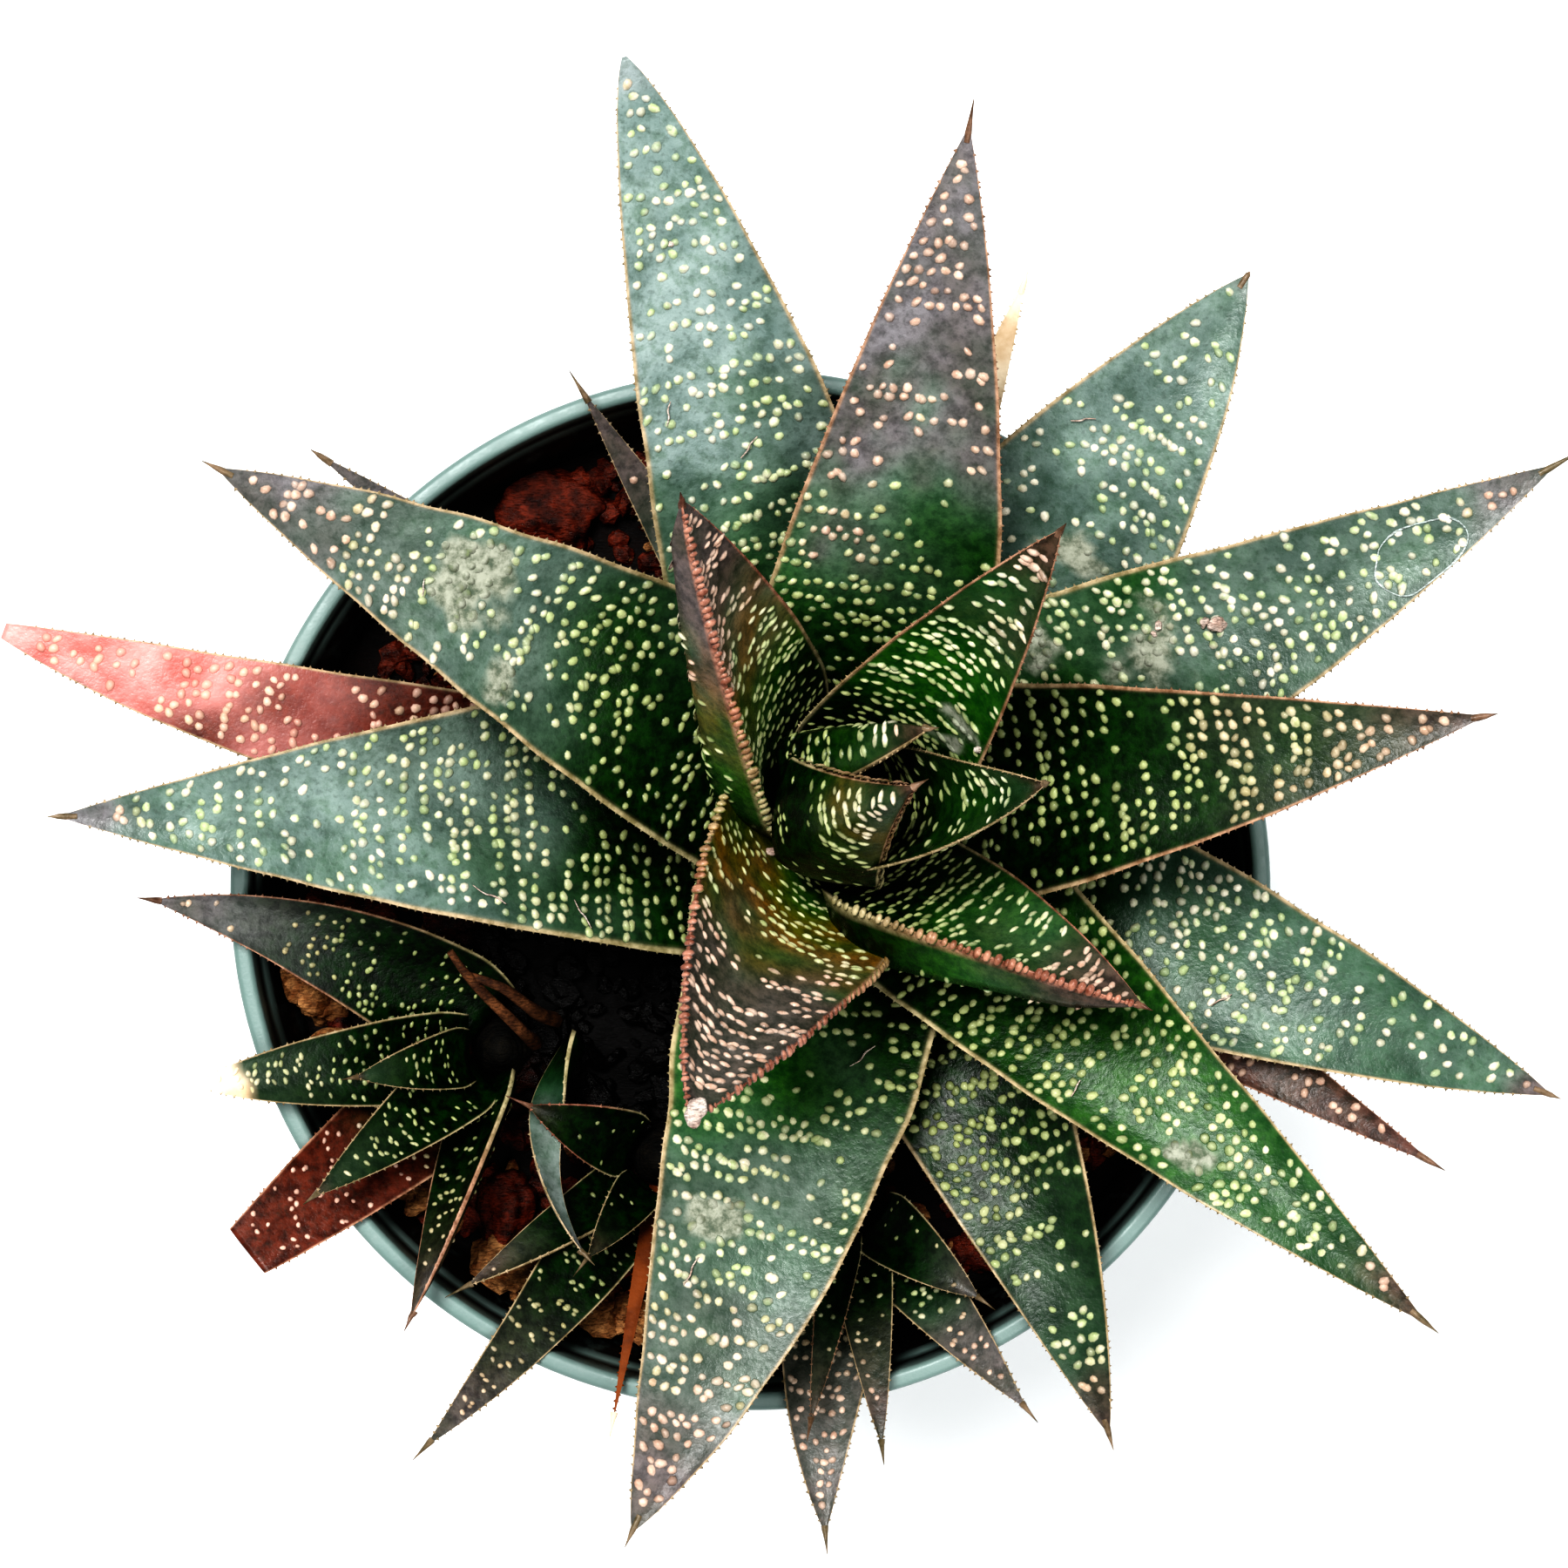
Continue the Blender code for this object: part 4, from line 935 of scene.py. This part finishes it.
def pot_profile():
    """Radius and height from the middle of the base, up the outside, over the rim and back down."""
    rim = POT_RIM_RADIUS
    inside = rim - RIM_THICKNESS
    shelf = POT_HEIGHT - RIM_BAND_HEIGHT
    points = [(0, 0.0), (wall_radius(0) - 1.2, 0.0)]
    points += corner(wall_radius(0) - 1.0, 1.2, 1.2, -70, 60)
    for step in range(1, 9):
        height = 2 + (shelf - 3) * step / 8
        points.append((wall_radius(height), height))
    points += [(rim - 0.7, shelf - 0.25), (rim - 0.25, shelf), (rim, shelf + 0.5)]
    points += [(rim, shelf + 3.0), (rim, shelf + 5.5)]
    points += corner(rim - RIM_ROUND, POT_HEIGHT - RIM_ROUND, RIM_ROUND, 0, 90)
    points += corner(inside + RIM_ROUND, POT_HEIGHT - RIM_ROUND, RIM_ROUND, 90, 90)
    points += [(inside, shelf + 4), (inside, shelf + 1.4), (inside - 0.5, shelf + 0.7)]
    points.append((wall_radius(shelf) - POT_WALL, shelf - 0.8))
    for height in (shelf / 2, POT_FLOOR + 2):
        points.append((wall_radius(height) - POT_WALL, height))
    return points + [(wall_radius(POT_FLOOR) - POT_WALL - 2, POT_FLOOR), (0, POT_FLOOR)]


def turned(profile, segments, centre=(0.0, 0.0), uneven=0.0, seed=0):
    """A profile turned about centre, with uneven as the share its radius wanders."""
    verts = []
    rings = []
    for radius, height in profile:
        count = 1 if radius == 0 else segments
        rings.append(range(len(verts), len(verts) + count))
        for k in range(count):
            angle = 2 * math.pi * k / segments
            push = 1.0
            if uneven and radius:
                at = Vector((math.cos(angle) * 2, math.sin(angle) * 2, height * 0.5 + seed))
                push += uneven * noise.noise(at)
            verts.append((centre[0] + radius * push * math.cos(angle),
                          centre[1] + radius * push * math.sin(angle), height))
    return verts, ring_faces(rings, segments)


def make_pot():
    verts, faces = turned(pot_profile(), POT_SEGMENTS)
    places = np.array(verts)
    away = np.hypot(places[:, 0], places[:, 1])
    inside = (away < wall_radius(places[:, 2]) - POT_WALL * 0.5) & (places[:, 2] > POT_FLOOR - 0.1)
    # Painted shade on the inner wall: full up to 4 mm under the rim's top, fading out above.
    painted_wall_shade = np.where(inside, 1 - smoothstep(POT_HEIGHT - 4.0, POT_HEIGHT - 0.8, places[:, 2]), 0.0)
    pot = make_object("pot_shell", verts, faces, pot_material(), "pot",
                      attributes={"painted_wall_shade": painted_wall_shade})
    hole = [(0, -2), (DRAIN_HOLE_RADIUS, -2), (DRAIN_HOLE_RADIUS, 6), (0, 6)]
    for centre in circle(DRAIN_CIRCLE_RADIUS, DRAIN_HOLE_COUNT):
        cut_verts, cut_faces = turned(hole, HOLE_SEGMENTS, centre)
        mesh = bpy.data.meshes.new("drain_cutter")
        mesh.from_pydata((np.array(cut_verts) * MM).tolist(), [], cut_faces)
        cutter = link(bpy.data.objects.new("drain_cutter", mesh))
        cut = pot.modifiers.new("Drain", "BOOLEAN")
        cut.operation = "DIFFERENCE"
        cut.solver = "EXACT"
        cut.object = cutter
        bpy.context.view_layer.objects.active = pot
        bpy.ops.object.modifier_apply(modifier=cut.name)
        bpy.data.objects.remove(cutter)
    smooth = pot.modifiers.new("Corners", "EDGE_SPLIT")
    smooth.split_angle = math.radians(40)


# ---- soil, bark and pumice ----
def soil_height(x, y):
    away = min(math.hypot(x, y) / POT_RIM_RADIUS, 1.0)
    bumps = math.sin(0.21 * x + 1.3) * math.cos(0.17 * y - 0.6) + math.sin(0.33 * y + 0.4)
    return SOIL_TOP + SOIL_MOUND * (1 - away * away) - SOIL_MOUND / 2 + SOIL_BUMP * bumps


def make_soil(material):
    edge = wall_radius(SOIL_TOP) - POT_WALL - SOIL_GAP
    low = POT_FLOOR + SOIL_GAP
    verts = [(0.0, 0.0, low)]
    for radius, height in ((wall_radius(POT_FLOOR) - POT_WALL - 2.6, low),
                           (wall_radius(POT_FLOOR + 2) - POT_WALL - 0.6, low + 2.2)):
        verts += [(x, y, height) for x, y in circle(radius, SOIL_SEGMENTS)]
    for share in np.linspace(1.0, 0.02, SOIL_RINGS):
        for x, y in circle(edge * share, SOIL_SEGMENTS):
            lumps = 0.9 * noise.noise(Vector((x * 0.5, y * 0.5, 1.7)))
            lumps += 0.5 * noise.noise(Vector((x, y, 4.1)))
            verts.append((x, y, soil_height(x, y) - SOIL_GAP + lumps * (1 if share < 0.99 else 0.3)))
    verts.append((0.0, 0.0, soil_height(0, 0)))
    rings = [range(first, first + SOIL_SEGMENTS) for first in range(1, len(verts) - 1, SOIL_SEGMENTS)]
    faces = ring_faces([[0], *rings, [len(verts) - 1]], SOIL_SEGMENTS)
    make_object("soil_surface", verts, faces, material, "soil",
                attributes={"open": open_sky(verts)})


def kept_inside(verts):
    """The points moved in from the pot's wall where they would pass through it."""
    verts = np.array(verts)
    away = np.hypot(verts[:, 0], verts[:, 1])
    most = wall_radius(np.minimum(verts[:, 2], POT_HEIGHT - RIM_BAND_HEIGHT)) - POT_WALL - WALL_GAP
    verts[:, :2] *= np.minimum(1.0, most / np.maximum(away, 0.001))[:, None]
    return verts


def open_sky(verts):
    """How far each point lies out from under the plant, from 0 to 1."""
    verts = np.array(verts)
    return smoothstep(*OPEN_SKY, np.hypot(verts[:, 0], verts[:, 1]))


def rock(centre, size, turns, seed, levels):
    """A broken granule as points and faces."""
    work = bmesh.new()
    bmesh.ops.create_icosphere(work, subdivisions=levels, radius=0.5)
    verts = []
    cx, cy, cz = (math.cos(math.radians(t)) for t in turns)
    sx, sy, sz = (math.sin(math.radians(t)) for t in turns)
    for vert in work.verts:
        point = vert.co
        push = 1 + 0.55 * noise.noise(point * 2.2 + Vector((seed * 3.7, 1, 2)))
        if levels > 2:
            push += 0.16 * noise.noise(point * 7 + Vector((seed * 1.3, 5, 2)))
        x, y, z = point.x * push * size[0], point.y * push * size[1], point.z * push * size[2]
        y, z = y * cx - z * sx, y * sx + z * cx
        x, z = x * cy + z * sy, z * cy - x * sy
        x, y = x * cz - y * sz, x * sz + y * cz
        verts.append((centre[0] + x, centre[1] + y, centre[2] + z))
    faces = [tuple(vert.index for vert in face.verts) for face in work.faces]
    work.free()
    return verts, faces


def make_loose(name, pile, material):
    """One flat-shaded object from a pile of granules, held inside the pot."""
    points = kept_inside(pile.points)
    make_object(name, points, pile.faces, material, None, False, {"open": open_sky(points)})


def scatter_granules(name, count, sizes, material, seed, lift):
    rng = np.random.default_rng(seed)
    edge = wall_radius(SOIL_TOP) - POT_WALL - SCATTER_GAP
    pile = Pile()
    for i in range(count):
        radius = edge * math.sqrt(rng.uniform(0, 1))
        angle = rng.uniform(0, 2 * math.pi)
        size = rng.uniform(*sizes)
        x = min(radius, edge - size * 0.5) * math.cos(angle)
        y = min(radius, edge - size * 0.5) * math.sin(angle)
        shape = (size, size * rng.uniform(0.5, 0.9), size * rng.uniform(0.35, 0.7))
        turns = rng.uniform(-35, 35), rng.uniform(-35, 35), rng.uniform(0, 360)
        pile.add(*rock((x, y, soil_height(x, y) + lift * size), shape, turns, float(seed + i), 2))
    make_loose(name, pile, material)


def lean_shards(material):
    """Pale pumice shards standing on the soil and leaning on the pot's wall."""
    rng = np.random.default_rng(21)
    pile = Pile()
    for i, turn in enumerate([*SHARD_TURNS, *rng.uniform(*SHARD_SPREAD, SHARDS_MORE)]):
        size = rng.uniform(*SHARD_SIZE)
        radius = rng.uniform(*SHARD_REACH)
        x = radius * math.cos(math.radians(turn))
        y = radius * math.sin(math.radians(turn))
        shape = (size, size * rng.uniform(0.5, 0.8), size * rng.uniform(0.3, 0.45))
        lean = rng.uniform(-30, 30), rng.uniform(-65, -35), turn
        pile.add(*rock((x, y, soil_height(x, y) + size * 0.42), shape, lean, 40.0 + i, 3))
    make_loose("leaning_shards", pile, material)


def make_chips(bark, pumice):
    for node in sorted(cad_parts):
        if not node.startswith("chip_"):
            continue
        low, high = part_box(node)
        centre = [(a + b) / 2 / MM for a, b in zip(low, high)]
        size = [(b - a) / MM * 1.12 for a, b in zip(low, high)]
        verts, faces = rock(centre, size, (0, 0, 0), float(node[-2:]), 4)
        verts = kept_inside(verts)
        is_pumice = node in PUMICE_CHIPS
        make_object("broken_" + node, verts, faces, pumice if is_pumice else bark, node,
                    True, {"open": open_sky(verts)})


# ---- stems and the dry flower stalks ----
def make_stems(material):
    heights = [height for _, height in STEM_OUTLINE]
    widths = [width for width, _ in STEM_OUTLINE]
    for plant, centre in PLANTS.items():
        low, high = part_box("stem_" + plant)
        radius = (high.x - low.x) / 2 / MM
        bottom = low.z / MM
        span = (high.z - low.z) / MM
        profile = [(0, bottom)]
        for i in range(STEM_RINGS):
            up = i / STEM_RINGS
            ridge = 0.03 * math.sin(i * 1.9)
            profile.append((radius * (np.interp(up, heights, widths) + ridge), bottom + span * up))
        profile.append((0, bottom + span))
        verts, faces = turned(profile, STEM_SEGMENTS, centre, 0.12, 3)
        make_object("ringed_stem_" + plant, verts, faces, material, "stem_" + plant)


def tube(path, radii, sides, seed):
    """A rough rod through the points of path."""
    path = [np.array(p, float) for p in path]
    fine = []
    widths = []
    for i in range(len(path) - 1):
        before = path[max(i - 1, 0)]
        after = path[min(i + 2, len(path) - 1)]
        a, b = path[i], path[i + 1]
        for step in range(TUBE_STEPS):
            t = step / TUBE_STEPS
            fine.append(0.5 * (2 * a + (b - before) * t + (2 * before - 5 * a + 4 * b - after) * t**2
                               + (3 * a - before - 3 * b + after) * t**3))
            widths.append(radii[i] + (radii[i + 1] - radii[i]) * t)
    fine.append(path[-1])
    widths.append(radii[-1])
    verts = []
    for i, place in enumerate(fine):
        heading = fine[min(i + 1, len(fine) - 1)] - fine[max(i - 1, 0)]
        heading = heading / np.linalg.norm(heading)
        side = np.cross(heading, [0.0, 0.3, 0.95])
        side /= np.linalg.norm(side)
        other = np.cross(heading, side)
        for k in range(sides):
            angle = 2 * math.pi * k / sides
            push = 1 + 0.25 * noise.noise(Vector((angle * 2, i * 0.15, seed)))
            verts.append(place + (side * math.cos(angle) + other * math.sin(angle)) * widths[i] * push)
    caps = [tuple(range(sides - 1, -1, -1)), tuple(range(len(verts) - sides, len(verts)))]
    return verts, caps + loop_faces(len(fine), sides, flip=True)


def make_stalks(material):
    for i, (node, path) in enumerate(STALKS.items()):
        verts, faces = tube(path, STALK_RADII, 14, i * 5.0)
        make_object("dry_" + node, verts, faces, material, node)


# ---- grit, dry fibres and the dried film on the leaves ----
def leaf_named(name):
    return next(leaf for leaf in LEAVES if leaf.name == name)


def on_leaf(name, along, across):
    """A place on a leaf's upper face and the outward direction there."""
    leaf = leaf_named(name)
    place = (np.array([along]), np.array([across]), np.zeros(1, bool))
    return leaf_skin(leaf, *place)[0], leaf_normals(leaf, *place)[0][0]


def make_litter(material):
    grit = Pile()
    for i, (name, along, across, size) in enumerate(GRIT):
        place, normal = on_leaf(name, along, across)
        shape = (size, size * 0.8, size * 0.6)
        grit.add(*rock(tuple(place + normal * size * 0.2), shape, (20, 10, 50 * i), 70.0 + i, 3))
    make_object("leaf_grit", grit.points, grit.faces, material, None, True)
    fibres = Pile()
    for i, (name, along, across, length, turn) in enumerate(FIBRES):
        share = length / leaf_length(leaf_named(name))
        path = []
        for k, bend in enumerate(FIBRE_BENDS):
            ahead = along + share * k / 3 * math.cos(math.radians(turn))
            aside = across + 0.22 * k / 3 * math.sin(math.radians(turn)) + bend * 0.06
            place, normal = on_leaf(name, ahead, aside)
            path.append(place + normal * FIBRE_LIFT)
        fibres.add(*tube(path, FIBRE_RADII, 6, float(i)))
    make_object("leaf_fibres", fibres.points, fibres.faces, material, None, True)


def make_film(material):
    """The pale raised rim that a drop has left where it dried."""
    path = []
    for along, across in FILM_EDGE:
        place, normal = on_leaf(FILM_LEAF, along, across)
        path.append(place + normal * FILM_LIFT)
    verts, faces = tube(path, FILM_RADII, 8, 3.0)
    make_object("dried_film_rim", verts, faces, material, None, True)


# ---- floor, lamps and camera ----
def make_stage():
    mesh = bpy.data.meshes.new("floor")
    corners = [(-1, -1), (1, -1), (1, 1), (-1, 1)]
    mesh.from_pydata([(x * FLOOR_HALF, y * FLOOR_HALF, 0) for x, y in corners], [], [(0, 1, 2, 3)])
    paint = Nodes("floor_paint")
    white = paint.shades(paint.noise(60.0), 0.3, 0.7, (247, 247, 247), (252, 252, 252))
    mesh.materials.append(paint.finish(white, 0.9))
    link(bpy.data.objects.new("floor", mesh))
    scene = bpy.context.scene
    scene.view_settings.view_transform = "Standard"
    scene.view_settings.look = "Very High Contrast"
    scene.world = bpy.data.worlds.new("studio")
    scene.world.use_nodes = True
    background = scene.world.node_tree.nodes["Background"]
    background.inputs["Color"].default_value = WORLD_COLOUR
    background.inputs["Strength"].default_value = WORLD_STRENGTH
    for name, place, size, power in LAMPS:
        light = bpy.data.lights.new(name, "AREA")
        light.shape = "DISK"
        light.size = size
        light.energy = power
        lamp = link(bpy.data.objects.new(name, light))
        lamp.location = place
        aim = Vector((0, 0, 0.1)) - lamp.location
        lamp.rotation_mode = "QUATERNION"
        lamp.rotation_quaternion = aim.to_track_quat("-Z", "Y")
    data = bpy.data.cameras.new("camera")
    data.lens = LENS
    data.sensor_width = 36.0
    data.clip_start = 0.01
    data.clip_end = 20.0
    camera = link(bpy.data.objects.new("camera", data))
    camera.location = (CAMERA_X * MM, CAMERA_Y * MM, (POT_HEIGHT + CAMERA_ABOVE_RIM) * MM)
    scene.camera = camera


def main():
    skin = leaf_material()
    mix = granule_material("soil_mix", (7, 4, 3), (30, 15, 9), 0.5, True)
    bark = granule_material("bark", (30, 9, 5), (146, 66, 42), 0.18, True)
    pumice = granule_material("pumice", (134, 82, 42), (214, 164, 112), 0.5, True)
    cork = granule_material("cork", (10, 10, 6), (34, 28, 18), 0.6)
    straw = granule_material("dry_stalk", (70, 42, 26), (140, 96, 62), 0.6)
    fibre = granule_material("pale_fibre", (196, 168, 154), (238, 226, 216), 0.5)
    film = granule_material("pale_film", (186, 200, 196), (226, 236, 232), 0.15)
    make_stage()
    make_pot()
    make_soil(mix)
    scatter_granules("bark_granules", BARK_COUNT, BARK_SIZE, bark, 11, 0.12)
    scatter_granules("pumice_granules", PUMICE_COUNT, PUMICE_SIZE, pumice, 12, 0.15)
    lean_shards(pumice)
    make_chips(bark, pumice)
    make_stems(cork)
    make_stalks(straw)
    for leaf in LEAVES:
        make_leaf(leaf, skin)
    make_litter(fibre)
    make_film(film)


main()
